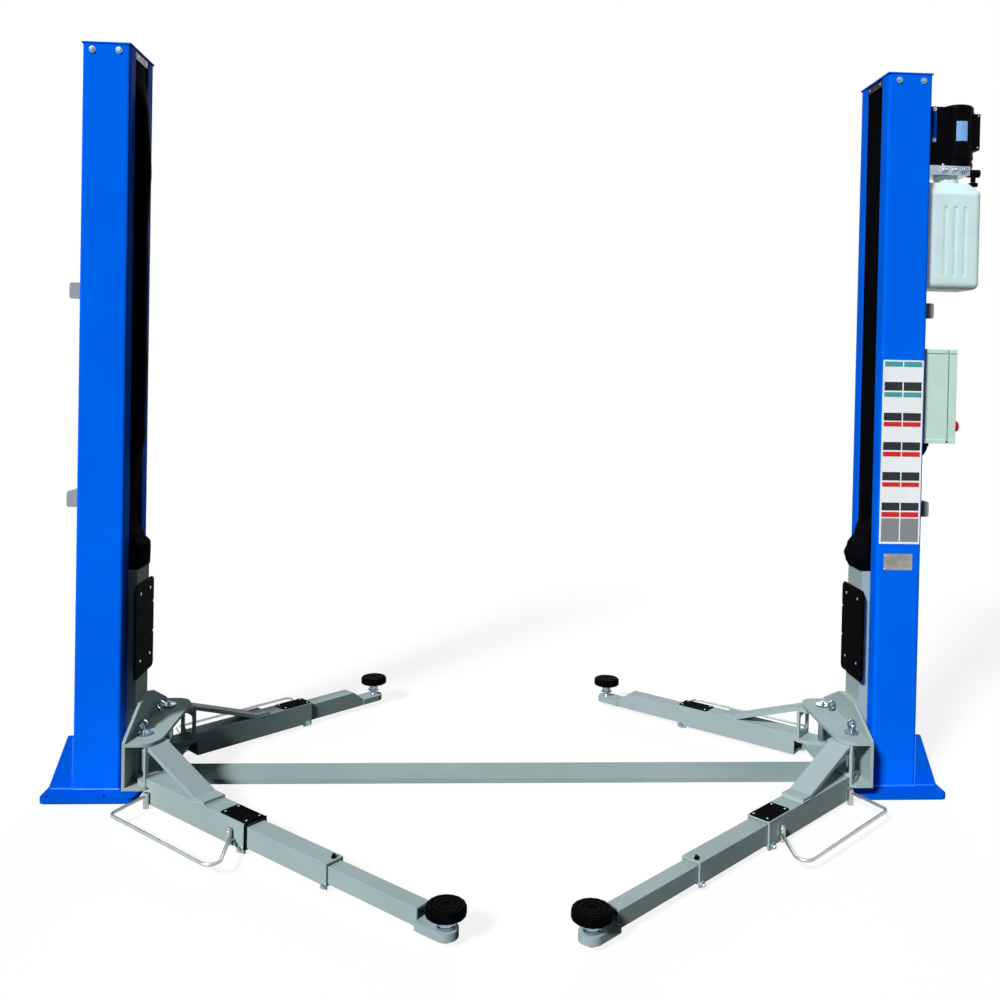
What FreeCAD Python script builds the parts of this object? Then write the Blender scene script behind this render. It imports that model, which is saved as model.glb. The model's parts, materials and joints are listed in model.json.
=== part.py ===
import FreeCAD, Part
import math
import os
import re
import Sketcher
from FreeCAD import Placement, Rotation, Vector

# Two post car lift. The origin is on the floor, midway between the posts.
# X runs across from the left post to the right, Y runs from front to back, Z is up.
# Every arm is drawn along its own X axis from its pivot, then turned and set on its carriage.

SIZES = [
    ("post_gap_half", 1450, "inner face of a post from the middle of the lift"),
    ("post_width", 176, "post, across the lift"),
    ("post_face", "post_gap_half + post_width", "outer face of a post from the middle of the lift"),
    ("post_depth", 280, "post, front to back"),
    ("post_wall", 6, "sheet of the post"),
    ("post_lip", 63, "lip each side of the slot that faces the other post"),
    ("post_corner", 12, "outer bend of the post sheet"),
    ("post_top", 2818, "upper end of the post"),
    ("cap_thickness", 6, "plate that closes the post"),
    ("cap_overhang", 2, "cap past the post"),
    ("base_toe", 80, "base plate past the post, towards the middle"),
    ("base_heel", 94, "base plate past the post, outwards"),
    ("base_spread", 84, "base plate past the post, in front and behind"),
    ("base_inner", "post_gap_half - base_toe", "inner edge of a base plate from the middle"),
    ("base_outer", "post_face + base_heel", "outer edge of a base plate from the middle"),
    ("base_length", "post_depth + 2 * base_spread", "base plate, front to back"),
    ("base_thickness", 20, "base plate"),
    ("base_corner", 30, "rounded corner of a base plate"),
    ("anchor_toe", 111, "inner floor anchors from the inner edge of the base plate"),
    ("anchor_heel", 30, "outer floor anchors from the outer edge of the base plate"),
    ("anchor_edge", 24, "floor anchors from the front and rear edges of the base plate"),
    ("anchor_inner", "base_inner + anchor_toe", "inner floor anchors from the middle"),
    ("anchor_outer", "base_outer - anchor_heel", "outer floor anchors from the middle"),
    ("anchor_row", "base_length / 2 - anchor_edge", "anchor rows in front of and behind the middle"),
    ("anchor_radius", 11, "hole for a floor anchor"),
    ("gusset_height", 198, "outer gusset above the base plate"),
    ("gusset_margin", 9, "foot of the outer gusset from the edge of the base plate"),
    ("gusset_head", 20, "outer gusset at its top"),
    ("gusset_toe", 12, "upright end of the gusset's foot"),
    ("gusset_sheet", 12, "thickness of a gusset"),
    ("gusset_inset", 6, "gusset behind the face of the post"),
    ("cover_front", 50, "floor cover in front of the middle"),
    ("cover_back", 106, "floor cover behind the middle"),
    ("cover_height", 20, "floor cover above the floor"),
    ("cover_sheet", 3, "sheet of the floor cover"),
    ("cover_gap", 0.3, "floor cover short of a base plate"),
    ("neck_reach", 32, "front of a carriage past the post, towards the middle"),
    ("neck_gap", 5, "carriage clear of the edges of the slot"),
    ("neck_front", "post_gap_half - neck_reach", "front of a carriage from the middle"),
    ("neck_half", "post_depth / 2 - post_lip - neck_gap", "half width of the carriage in the slot"),
    ("carriage_bottom", 62, "lower end of a carriage"),
    ("carriage_height", 853, "carriage"),
    ("carriage_top", "carriage_bottom + carriage_height", "upper end of a carriage"),
    ("carriage_sheet", 12, "sheet of the carriage"),
    ("flange_gap", 8, "carriage flange behind the lips of the post"),
    ("flange_room", 16, "carriage flange clear of the post's side wall"),
    ("flange_half", "post_depth / 2 - post_wall - flange_room", "half width over the carriage flanges"),
    ("slide_gap", 0.5, "running gap round a slide block"),
    ("slide_height", 120, "slide block"),
    ("slide_inset", 35, "slide block from the end of the carriage"),
    ("slide_chamfer", 12, "corner taken off a slide block at the bend of the post"),
    ("slide_cover", 34, "slide block along the back of a lip"),
    ("slide_back", 8, "slide block behind the carriage flange"),
    ("guard_over", 36, "door guard past the carriage, each side"),
    ("guard_half", "neck_half + guard_over", "half width of a door guard"),
    ("guard_drop", 136, "door guard below the top of the carriage"),
    ("guard_height", 362, "door guard"),
    ("guard_top", "carriage_top - guard_drop", "upper edge of a door guard"),
    ("guard_bottom", "guard_top - guard_height", "lower edge of a door guard"),
    ("guard_sheet", 10, "rubber of a door guard"),
    ("guard_corner", 12, "rounded corner of a door guard"),
    ("packing_sheet", 12, "packing plate between the carriage and the arm bracket"),
    ("bracket_sheet", 12, "plates of the arm bracket"),
    ("bracket_back", "neck_front - packing_sheet", "back plate of the arm bracket, post side"),
    ("bracket_face", "bracket_back - bracket_sheet", "back plate of the arm bracket, arm side"),
    ("bracket_half", 260, "half length of the arm bracket, front to back"),
    ("bracket_height", 173, "arm bracket over its two shelves"),
    ("bracket_top", "carriage_bottom + bracket_height", "upper face of the arm bracket"),
    ("bracket_shoulder", 5, "back plate above the upper shelf at its ends"),
    ("bracket_depth", 116, "shelves of the bracket from the back plate to their inner edge"),
    ("nose_back", 30, "slant of a shelf's end, across the lift"),
    ("nose_side", 60, "slant of a shelf's end, front to back"),
    ("bracket_nose", "bracket_face - bracket_depth", "inner edge of the shelves from the middle"),
    ("bracket_tip", "bracket_nose + nose_back", "start of the slant from the middle"),
    ("bracket_nose_half", "bracket_half - nose_side", "half length of the shelves' inner edge"),
    ("shelf_corner", 60, "rounded corners of the shelves round a pivot"),
    ("crest_height", 91, "back plate above the upper shelf where it meets the carriage"),
    ("crest_over", 8, "top of the back plate past the carriage, each side"),
    ("bracket_crest", "bracket_top + crest_height", "top of the back plate"),
    ("bracket_crest_half", "neck_half + crest_over", "half width of the back plate at its top"),
    ("pivot_depth", 38, "arm pivot from the back plate"),
    ("pivot_inset", 100, "arm pivot from the end of the bracket"),
    ("pivot_across", "bracket_face - pivot_depth", "arm pivot from the middle of the lift"),
    ("pivot_along", "bracket_half - pivot_inset", "arm pivot in front of or behind the middle"),
    ("pin_radius", 17, "pivot pin"),
    ("pin_head_radius", 27, "head of a pivot pin"),
    ("pin_head", 8, "thickness of that head"),
    ("pin_tail_radius", 22, "nut under a pivot pin"),
    ("pin_tail", 12, "thickness of that nut"),
    ("pin_gap", 0.05, "running gap round a pivot pin"),
    ("lock_turn", 68.2, "direction of a lock pin from its pivot"),
    ("lock_out", 53.9, "lock pin from its pivot"),
    ("lock_radius", 7, "lock pin"),
    ("lock_height", 8, "lock pin above the upper shelf"),
    ("lock_ring_radius", 18, "pull ring of a lock pin"),
    ("lock_ring_bore", 12, "inside of the pull ring"),
    ("lock_ring_sheet", 6, "thickness of the pull ring"),
    ("pawl_gap", 7, "toothed block drawn back from the ear's teeth"),
    ("pawl_depth", 18, "toothed block, radially"),
    ("pawl_spread", 34, "toothed block round the pivot, in degrees"),
    ("ear_radius", 33, "rounded end of an arm's ears"),
    ("ear_sheet", 16, "thickness of an ear"),
    ("ear_gap", 0.3, "gap between an ear and the bracket plate"),
    ("ear_top_gap", 1.5, "gap above the upper ear"),
    ("ear_lobe", 45, "widest place of an ear from the pivot"),
    ("ear_lobe_half", 50, "half width of an ear there"),
    ("tooth_count", 24, "teeth round an ear for the lock"),
    ("tooth_notch", 2.2, "radius of the gap between two teeth"),
    ("tooth_play", 0.2, "play between a tooth and its gap"),
    ("root_plate", 80, "root plate of an arm from its pivot"),
    ("root_sheet", 12, "thickness of the root plate"),
    ("root_half", 52, "half width of the root plate"),
    ("window_frame", 12, "root plate beside its window"),
    ("window_margin", 20, "root plate above and below its window"),
    ("window_corner", 15, "rounded corner of that window"),
    ("strap_half", 43, "half width of the arm's strap"),
    ("strap_sheet", 12, "strap where it lies on the tube"),
    ("strap_lap", 55, "strap along the top of the tube"),
    ("strap_run", 83, "end of the strap from the rubber grip"),
    ("arm_drop", 46, "underside of an arm below the carriage"),
    ("outer_side", 88, "outer tube of an arm, square"),
    ("outer_wall", 7, "wall of the outer tube"),
    ("outer_bottom", "carriage_bottom - arm_drop", "underside of the outer tube above the floor"),
    ("outer_heel", 105, "underside of the outer tube starts here, from the pivot"),
    ("outer_end", 665, "end of the outer tube from its pivot"),
    ("tab_drop", 10, "tabs under the end of a tube"),
    ("outer_tab", 40, "tabs of the outer tube, along it"),
    ("middle_tab", 22, "tabs of the middle tube, along it"),
    ("middle_side", 70, "middle tube, square"),
    ("middle_wall", 6, "wall of the middle tube"),
    ("middle_lap", 145, "middle tube inside the outer one"),
    ("middle_reach", 395, "middle tube past the outer one"),
    ("middle_start", "outer_end - middle_lap", "hidden end of the middle tube from the pivot"),
    ("middle_end", "outer_end + middle_reach", "open end of the middle tube from the pivot"),
    ("inner_side", 54, "inner tube, square"),
    ("inner_wall", 6, "wall of the inner tube"),
    ("inner_lap", 135, "inner tube inside the middle one"),
    ("inner_start", "middle_end - inner_lap", "hidden end of a front inner tube"),
    ("rear_lap", 185, "rear inner tube inside the outer one"),
    ("rear_start", "outer_end - rear_lap", "hidden end of a rear inner tube"),
    ("rear_slope", 55, "sloped end of a rear inner tube"),
    ("tube_gap", 0.3, "gap under a tube that slides in another"),
    ("lug_reach", 88, "pad axis from the end of the last tube"),
    ("lug_lap", 30, "lug inside the end of the last tube"),
    ("lug_radius", 38, "rounded end of the lug"),
    ("lug_rise", 8, "underside of a lug above that of the outer tube"),
    ("lug_bottom", "outer_bottom + lug_rise", "underside of a lug above the floor"),
    ("lug_sheet", 25, "thickness of a lug"),
    ("stem_radius", 15, "screw of a pad"),
    ("stem_below", 16, "screw of a pad below its lug, lowest"),
    ("stem_bottom", "lug_bottom - stem_below", "lower end of a pad's screw, lowest"),
    ("collar_radius", 30, "collar of a pad"),
    ("collar_gap", 0.5, "collar above the lug, lowest"),
    ("collar_height", 35, "collar of a pad"),
    ("pad_radius", 60, "rubber disc of a pad"),
    ("pad_sheet", 31, "thickness of the rubber disc"),
    ("pad_step", 4, "edge taken off the top of the rubber disc"),
    ("rear_pad_lift", 18, "rear pads screwed up from their lowest place"),
    ("front_left_angle", 40.9, "front left arm, turned out from straight across"),
    ("front_left_across", 202.6, "front left pad from the middle of the lift"),
    ("front_left_reach", "(pivot_across - front_left_across) / cos(front_left_angle)",
     "front left pad from its pivot"),
    ("front_right_angle", 41.9, "front right arm, turned out from straight across"),
    ("front_right_across", 211.2, "front right pad from the middle of the lift"),
    ("front_right_reach", "(pivot_across - front_right_across) / cos(front_right_angle)",
     "front right pad from its pivot"),
    ("rear_left_angle", 43.6, "rear left arm, turned out from straight across"),
    ("rear_left_reach", 1053, "rear left pad from its pivot"),
    ("rear_right_angle", 40.8, "rear right arm, turned out from straight across"),
    ("rear_right_reach", 1083, "rear right pad from its pivot"),
    ("grip_length", 142, "rubber grip on the outer tube"),
    ("grip_start", "outer_end - grip_length", "rubber grip from the pivot"),
    ("grip_margin", 5, "rubber grip from the side of the tube"),
    ("grip_sheet", 4, "thickness of the rubber grip"),
    ("grip_corner", 8, "rounded corner of the rubber grip"),
    ("foot_rod", 6, "radius of the foot guard's rod"),
    ("foot_rise", 36, "foot guard above the underside of the arm"),
    ("foot_height", "outer_bottom + foot_rise", "foot guard above the floor"),
    ("foot_bend", 32, "bend of the foot guard"),
    ("foot_post", 106, "foot guard's bush from the pivot, along the arm"),
    ("foot_post_radius", 11, "foot guard's bush"),
    ("foot_post_below", 47, "foot guard's bush below the rod"),
    ("foot_post_above", 10, "foot guard's bush above the rod"),
    ("foot_near", 151, "first bend of the foot guard along the arm"),
    ("foot_inset", 65, "foot guard's end from the end of the outer tube"),
    ("foot_end", "outer_end - foot_inset", "foot guard's end on the outer tube"),
    ("foot_run", 168, "second bend of the foot guard past its end, along the arm"),
    ("foot_out", 225, "bends of the foot guard beside the arm"),
    ("cylinder_inset", 59, "lifting cylinder from the outer face of the post"),
    ("cylinder_across", "post_face - cylinder_inset", "lifting cylinder from the middle"),
    ("cylinder_radius", 40, "barrel of the lifting cylinder"),
    ("cylinder_wall", 8, "wall of the barrel"),
    ("cylinder_top", 1100, "upper end of the barrel"),
    ("gland_height", 40, "gland at the top of the barrel"),
    ("rod_radius", 22.5, "piston rod"),
    ("rod_gap", 0.05, "running gap of the rod and the piston"),
    ("piston_rest", 32, "piston above the bottom of the bore"),
    ("piston_bottom", "base_thickness + cylinder_wall + piston_rest", "lower face of the piston"),
    ("piston_height", 40, "piston"),
    ("rod_stand", 50, "rod above the barrel, lowest"),
    ("rod_top", "cylinder_top + rod_stand", "upper end of the rod"),
    ("sheave_radius", 45, "chain sheave on the rod"),
    ("sheave_width", 34, "chain sheave"),
    ("sheave_gap", 6, "chain sheave above the rod"),
    ("sheave_axle", 10, "axle of the chain sheave"),
    ("fork_sheet", 10, "cheeks that hold the sheave"),
    ("fork_gap", 1, "cheek beside the sheave"),
    ("curtain_set_back", 6, "dust curtain behind the lips of the post"),
    ("curtain_back", "post_gap_half + post_wall + curtain_set_back", "dust curtain from the middle"),
    ("curtain_sheet", 4, "dust curtain"),
    ("curtain_side", 3, "dust curtain from the edges of the slot"),
    ("curtain_half", "post_depth / 2 - post_lip - curtain_side", "half width of the dust curtain"),
    ("curtain_gap", 0.3, "gap above the carriage"),
    ("curtain_top_gap", 0.3, "dust curtain under the cap of the post"),
    ("block_hang", 372, "underside of the pump block below the top of the post"),
    ("block_bottom", "post_top - block_hang", "underside of the pump block above the floor"),
    ("block_height", 37, "pump block"),
    ("block_half", 60, "half width of the pump block"),
    ("block_reach", 31, "outer end of the pump block past the motor's axis"),
    ("block_outer", "motor_across + block_reach", "outer end of the pump block from the middle"),
    ("plug_radius", 12, "plug on the pump block"),
    ("plug_reach", 9, "plug out from the pump block"),
    ("plug_pitch", 38, "from one plug to the next"),
    ("plug_count", 3, "plugs on the pump block"),
    ("unit_plate", 8, "plate that carries the power unit"),
    ("unit_plate_half", 55, "half width of that plate"),
    ("unit_plate_below", 16, "that plate below the pump block"),
    ("unit_plate_height", 295, "height of that plate"),
    ("unit_plate_bottom", "block_bottom - unit_plate_below", "lower edge of that plate"),
    ("motor_reach", 167, "motor's axis from the post"),
    ("motor_across", "post_face + motor_reach", "motor's axis from the middle of the lift"),
    ("motor_radius", 64, "motor"),
    ("motor_bottom", "block_bottom + block_height", "lower end of the motor"),
    ("motor_height", 249, "motor"),
    ("motor_top", "motor_bottom + motor_height", "upper end of the motor"),
    ("motor_edge", 14, "rounded upper edge of the motor"),
    ("motor_flange", 16, "lower flange of the motor"),
    ("motor_neck", 3, "motor above its flange, slimmer by"),
    ("foot_plate_half", 42, "half width of the motor's foot"),
    ("foot_plate_low", 8, "motor's foot above the lower end of the motor"),
    ("foot_plate_high", 10, "motor's foot below the upper end of the motor"),
    ("terminal_out", 76, "outer side of the terminal box from the motor's axis"),
    ("terminal_reach", "motor_across + terminal_out", "outer side of the terminal box"),
    ("terminal_half", 46, "half width of the terminal box"),
    ("terminal_rise", 69, "terminal box above the lower end of the motor"),
    ("terminal_bottom", "motor_bottom + terminal_rise", "terminal box"),
    ("terminal_height", 146, "terminal box"),
    ("terminal_corner", 6, "rounded corner of the terminal box"),
    ("valve_length", 47, "lowering valve out from the pump block"),
    ("valve_radius", 16, "lowering valve"),
    ("valve_front", 40, "lowering valve in front of the middle"),
    ("valve_rise", 12, "lowering valve above the underside of the pump block"),
    ("valve_grip", 10, "grip of the lowering valve"),
    ("valve_drop", 34, "grip below the lowering valve"),
    ("tank_gap", 24, "oil tank from the post"),
    ("tank_width", 217, "oil tank, across the lift"),
    ("tank_inner", "post_face + tank_gap", "oil tank, post side"),
    ("tank_outer", "tank_inner + tank_width", "oil tank, outer side"),
    ("tank_half", 84, "half width of the oil tank"),
    ("tank_height", 426, "oil tank"),
    ("shoulder_height", 47, "shoulder of the oil tank, downwards"),
    ("shoulder_width", 48, "shoulder of the oil tank, inwards"),
    ("shoulder_side", 26, "shoulder of the oil tank, from its front and back"),
    ("neck_height", 32, "neck of the oil tank"),
    ("neck_inset", 42, "neck of the oil tank from the motor's axis"),
    ("neck_radius", 46, "neck of the oil tank"),
    ("tank_top", "block_bottom - neck_height", "top of the oil tank"),
    ("tank_bottom", "tank_top - tank_height", "underside of the oil tank"),
    ("tank_shoulder", "tank_top - shoulder_height", "oil tank where its shoulder starts"),
    ("tank_corner", 26, "rounded corners of the oil tank"),
    ("flute_count", 3, "upright flutes in a side of the oil tank"),
    ("flute_pitch", 40, "from one flute to the next"),
    ("flute_radius", 12, "round of a flute"),
    ("flute_depth", 3, "depth of a flute"),
    ("flute_margin", 52, "flute from the bottom and the shoulder"),
    ("catch_reach", 69, "lock cover out from the post"),
    ("catch_half", 50, "half width of a lock cover"),
    ("catch_height", 62, "lock cover"),
    ("catch_gap", 56, "upper lock cover below the oil tank"),
    ("catch_pitch", 798, "lower lock cover below the upper one"),
    ("catch_high", "tank_bottom - catch_gap - catch_height", "upper lock cover above the floor"),
    ("catch_low", "catch_high - catch_pitch", "lower lock cover above the floor"),
    ("catch_sheet", 2, "sheet of a lock cover"),
    ("catch_corner", 10, "rounded corner of a lock cover"),
    ("panel_depth", 116, "control box out from the post"),
    ("panel_lid", 34, "lid of the control box"),
    ("panel_half", 92, "half width of the control box"),
    ("panel_height", 369, "control box"),
    ("panel_gap", 126, "control box below the upper lock cover"),
    ("panel_top", "catch_high - panel_gap", "upper side of the control box"),
    ("panel_bottom", "panel_top - panel_height", "lower side of the control box"),
    ("panel_corner", 8, "rounded corner of the control box"),
    ("stop_rise", 64, "emergency stop above the lower side of the box"),
    ("stop_height", "panel_bottom + stop_rise", "emergency stop above the floor"),
    ("stop_front", 50, "emergency stop in front of the middle"),
    ("stop_radius", 19, "emergency stop knob"),
    ("stop_neck", 11, "emergency stop's stem"),
    ("stop_reach", 26, "emergency stop out from the lid"),
    ("stop_cap", 14, "thickness of the knob"),
]
SIZE_NAMES = {name for name, size, note in SIZES}
SIDES = {"left": "-", "right": ""}
LOCK_ACROSS = "pivot_across + lock_out * cos(lock_turn)"
LOCK_ALONG = "pivot_along - lock_out * sin(lock_turn)"

doc = FreeCAD.newDocument("TwoPostCarLift")
sheet = doc.addObject("Spreadsheet::Sheet", "Sizes")
for row, (name, size, note) in enumerate(SIZES, start=1):
    sheet.set(f"A{row}", note)
    sheet.set(f"B{row}", f"={size}")
    sheet.setAlias(f"B{row}", name)
doc.recompute()

nodes = []


def tied(text):
    """Point each size name in an expression at its cell in the sheet."""
    return re.sub(r"[a-z][a-z_]+", lambda word: "Sizes." * (word[0] in SIZE_NAMES) + word[0], str(text))


def size_of(text):
    """Work out an expression with the sheet's present values."""
    answer = sheet.evalExpression(tied(text))
    return float(getattr(answer, "Value", answer))


def place(solid, x, y, z):
    """Tie a solid's position to three expressions."""
    for letter, text in zip("xyz", (x, y, z)):
        solid.setExpression(f"Placement.Base.{letter}", tied(text))
    return solid


def block(name, x, y, z):
    """Make a box between a low and a high expression along each axis."""
    solid = doc.addObject("Part::Box", name)
    for edge, (low, high) in zip(("Length", "Width", "Height"), (x, y, z)):
        solid.setExpression(edge, tied(f"({high}) - ({low})"))
    return place(solid, x[0], y[0], z[0])


def across(side, near, far):
    """Give the low and high X of a span that is measured outwards from the middle of the lift."""
    if side == "right":
        return near, far
    return f"-({far})", f"-({near})"


def round_bar(name, radius, start, length, along=(0, 0, 1)):
    """Make a cylinder that starts at a point and runs along an axis."""
    solid = doc.addObject("Part::Cylinder", name)
    solid.Placement = Placement(Vector(), Rotation(Vector(0, 0, 1), Vector(*along)))
    solid.setExpression("Radius", tied(radius))
    solid.setExpression("Height", tied(length))
    return place(solid, *start)


def plane_of(body, role):
    """Find one of a body's own origin planes."""
    return next(feature for feature in body.Origin.OriginFeatures if feature.Role == role)


def new_sketch(body, name, role, offset):
    """Attach a sketch to one of a body's origin planes, moved along the plane's normal."""
    sketch = body.newObject("Sketcher::SketchObject", name)
    sketch.AttachmentSupport = [(plane_of(body, role), "")]
    sketch.MapMode = "FlatFace"
    sketch.setExpression("AttachmentOffset.Base.z", tied(offset))
    return sketch


def draw_outline(sketch, outline):
    """Draw a closed outline whose corners are tied to pairs of expressions."""
    corners = [Vector(size_of(across_text), size_of(up_text), 0) for across_text, up_text in outline]
    count = len(corners)
    for number, corner in enumerate(corners):
        sketch.addGeometry(Part.LineSegment(corner, corners[(number + 1) % count]), False)
    for number, (across_text, up_text) in enumerate(outline):
        sketch.addConstraint(Sketcher.Constraint("Coincident", number, 2, (number + 1) % count, 1))
        for kind, text, value in (("DistanceX", across_text, corners[number].x),
                                  ("DistanceY", up_text, corners[number].y)):
            index = sketch.addConstraint(Sketcher.Constraint(kind, -1, 1, number, 1, value))
            sketch.setExpression(f"Constraints[{index}]", tied(text))


def plate(name, role, outline, low, high):
    """Pad an outline drawn on an origin plane between two heights along that plane's axis."""
    body = doc.addObject("PartDesign::Body", name)
    offset = f"-({high})" if role == "XZ_Plane" else low
    sketch = new_sketch(body, name + "_outline", role, offset)
    draw_outline(sketch, outline)
    pad = body.newObject("PartDesign::Pad", name + "_pad")
    pad.Profile = sketch
    pad.setExpression("Length", tied(f"({high}) - ({low})"))
    return body


def rounded(body, radius, chosen):
    """Round the edges of a body that a test picks out."""
    doc.recompute()
    base = body.Tip
    picked = [f"Edge{number}" for number, edge in enumerate(base.Shape.Edges, start=1) if chosen(edge)]
    fillet = body.newObject("PartDesign::Fillet", f"{body.Name}_round{len(body.Group)}")
    fillet.Base = (base, picked)
    fillet.setExpression("Radius", tied(radius))
    return body


def runs_along(edge, letter):
    """Tell whether a straight edge runs along one axis."""
    if edge.Curve.TypeId != "Part::GeomLine":
        return False
    return abs(abs(getattr(edge.Curve.Direction, letter)) - 1) < 1e-6


def joined(name, *solids):
    """Weld solids into one."""
    result = doc.addObject("Part::MultiFuse", name)
    result.Shapes = list(solids)
    result.Refine = True
    return result


def cut(name, solid, *tools):
    """Take tools away from a solid."""
    result = doc.addObject("Part::Cut", name)
    result.Base = solid
    result.Tool = tools[0] if len(tools) == 1 else joined(name + "_tools", *tools)
    result.Refine = True
    return result


def group(name, *solids):
    """Keep solids that don't touch together."""
    result = doc.addObject("Part::Compound", name)
    result.Links = list(solids)
    return result


def node(name, solid):
    """Name a finished sub-part."""
    solid.Label = name
    nodes.append(solid)
    return solid


def make_post(side):
    """Folded C section, open towards the other post, with a cap that closes it."""
    sign = SIDES[side]
    near, far = "post_gap_half", "post_face"
    half, slot = "post_depth / 2", "post_depth / 2 - post_lip"
    section = [
        (near, f"-({slot})"), (near, f"-({half})"), (far, f"-({half})"),
        (far, half), (near, half), (near, slot),
        (f"{near} + post_wall", slot), (f"{near} + post_wall", f"{half} - post_wall"),
        (f"{far} - post_wall", f"{half} - post_wall"), (f"{far} - post_wall", f"-({half} - post_wall)"),
        (f"{near} + post_wall", f"-({half} - post_wall)"), (f"{near} + post_wall", f"-({slot})"),
    ]
    section = [(f"{sign}({x})", y) for x, y in section]
    post = plate(f"{side}_post_body", "XY_Plane", section, "base_thickness", "post_top")

    def is_bend(edge, inner):
        if not runs_along(edge, "z"):
            return False
        point = edge.Vertexes[0].Point
        inset = size_of("post_wall") if inner else 0
        depth = abs(abs(point.y) - (size_of(half) - inset)) < 0.01
        ends = (size_of(near) + inset, size_of(far) - inset)
        return depth and min(abs(abs(point.x) - end) for end in ends) < 0.01

    rounded(post, "post_corner", lambda edge: is_bend(edge, False))
    rounded(post, "post_corner - post_wall", lambda edge: is_bend(edge, True))
    node(f"{side}_post", post)

    over = "cap_overhang"
    cap = block(f"{side}_cap_plate", across(side, f"{near} - {over}", f"{far} + {over}"),
                (f"-({half} + {over})", f"{half} + {over}"), ("post_top", "post_top + cap_thickness"))
    node(f"{side}_post_cap", cap)


def make_base(side):
    """Base plate with four anchor holes and two gussets against the outer side of the post."""
    half = "base_length / 2"
    near, far = across(side, "base_inner", "base_outer")
    slab = plate(f"{side}_slab", "XY_Plane",
                 [(near, f"-({half})"), (far, f"-({half})"), (far, half), (near, half)],
                 "0", "base_thickness")
    rounded(slab, "base_corner", lambda edge: runs_along(edge, "z"))
    foot = f"{SIDES[side]}(post_face"
    gussets = []
    for end in ("front", "back"):
        outline = [
            (foot + ")", "base_thickness"), (foot + " + base_heel - gusset_margin)", "base_thickness"),
            (foot + " + base_heel - gusset_margin)", "base_thickness + gusset_toe"),
            (foot + " + gusset_head)", "base_thickness + gusset_height"),
            (foot + ")", "base_thickness + gusset_height"),
        ]
        outer = "post_depth / 2 - gusset_inset"
        low, high = f"{outer} - gusset_sheet", outer
        if end == "front":
            low, high = f"-({high})", f"-({low})"
        gussets.append(plate(f"{side}_{end}_gusset", "XZ_Plane", outline, low, high))
    holes = []
    for row in ("anchor_inner", "anchor_outer"):
        for turn in ("-", ""):
            start = (f"{SIDES[side]}{row}", f"{turn}anchor_row", "-1")
            holes.append(round_bar(f"{side}_{row}_hole", "anchor_radius", start, "base_thickness + 2"))
    weldment = joined(f"{side}_base_weldment", slab, *gussets)
    node(f"{side}_base_plate", cut(f"{side}_base", weldment, *holes))


def make_floor_cover():
    """Folded sheet between the base plates, over the line that joins the posts."""
    reach = "base_inner - cover_gap"
    front, back, top, sheet_metal = "-cover_front", "cover_back", "cover_height", "cover_sheet"
    outline = [
        (front, "0"), (front, top), (back, top), (back, "0"), (f"{back} - {sheet_metal}", "0"),
        (f"{back} - {sheet_metal}", f"{top} - {sheet_metal}"),
        (f"{front} + {sheet_metal}", f"{top} - {sheet_metal}"), (f"{front} + {sheet_metal}", "0"),
    ]
    node("floor_cover", plate("floor_cover_body", "YZ_Plane", outline, f"-({reach})", reach))


def make_carriage(side):
    """Folded hat section in the post's slot, with the welded bracket that carries two arms."""
    sign = SIDES[side]
    front, wing = "neck_front", "post_gap_half + post_wall + flange_gap"
    skin, neck, flange = "carriage_sheet", "neck_half", "flange_half"
    section = [
        (front, f"-{neck}"), (wing, f"-{neck}"), (wing, f"-{flange}"),
        (f"{wing} + {skin}", f"-{flange}"), (f"{wing} + {skin}", f"-({neck} - {skin})"),
        (f"{front} + {skin}", f"-({neck} - {skin})"), (f"{front} + {skin}", f"{neck} - {skin}"),
        (f"{wing} + {skin}", f"{neck} - {skin}"), (f"{wing} + {skin}", flange),
        (wing, flange), (wing, neck), (front, neck),
    ]
    section = [(f"{sign}({x})", y) for x, y in section]
    hat = plate(f"{side}_hat", "XY_Plane", section, "carriage_bottom", "carriage_top")

    back_face = "bracket_face"
    shoulder = "bracket_top + bracket_shoulder"
    back_outline = [
        ("-bracket_half", "carriage_bottom"), ("bracket_half", "carriage_bottom"),
        ("bracket_half", shoulder), ("bracket_crest_half", "bracket_crest"),
        ("-bracket_crest_half", "bracket_crest"), ("-bracket_half", shoulder),
    ]
    back = plate(f"{side}_bracket_back", "YZ_Plane", back_outline, *across(side, back_face, "bracket_back"))
    packing = block(f"{side}_bracket_packing", across(side, "bracket_back", front), (f"-{neck}", neck),
                    ("carriage_bottom", "bracket_crest"))
    shelf_outline = [
        (back_face, "-bracket_half"), ("bracket_tip", "-bracket_half"),
        ("bracket_nose", "-bracket_nose_half"), ("bracket_nose", "bracket_nose_half"),
        ("bracket_tip", "bracket_half"), (back_face, "bracket_half"),
    ]
    shelf_outline = [(f"{sign}({x})", y) for x, y in shelf_outline]
    shelves = []
    for level, low in (("lower", "carriage_bottom"), ("upper", "bracket_top - bracket_sheet")):
        shelf = plate(f"{side}_{level}_shelf", "XY_Plane", shelf_outline, low, f"{low} + bracket_sheet")
        nose, tip = size_of("bracket_nose"), size_of("bracket_tip")
        rounded(shelf, "shelf_corner", lambda edge: runs_along(edge, "z")
                and min(abs(abs(edge.Vertexes[0].Point.x) - corner) for corner in (nose, tip)) < 0.01)
        shelves.append(shelf)

    holes = []
    for end, turn in (("front", "-"), ("back", "")):
        pivot = (f"{sign}pivot_across", f"{turn}pivot_along", "carriage_bottom - 1")
        holes.append(round_bar(f"{side}_{end}_pivot_hole", "pin_radius + pin_gap", pivot, "bracket_top"))
        lock = (f"{sign}({LOCK_ACROSS})", f"{turn}({LOCK_ALONG})", "bracket_top - bracket_sheet - 1")
        holes.append(round_bar(f"{side}_{end}_lock_hole", "lock_radius + pin_gap", lock,
                               "bracket_sheet + 2"))
    weldment = joined(f"{side}_carriage_weldment", hat, back, packing, *shelves)
    node(f"{side}_carriage", cut(f"{side}_carriage_body", weldment, *holes))


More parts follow.
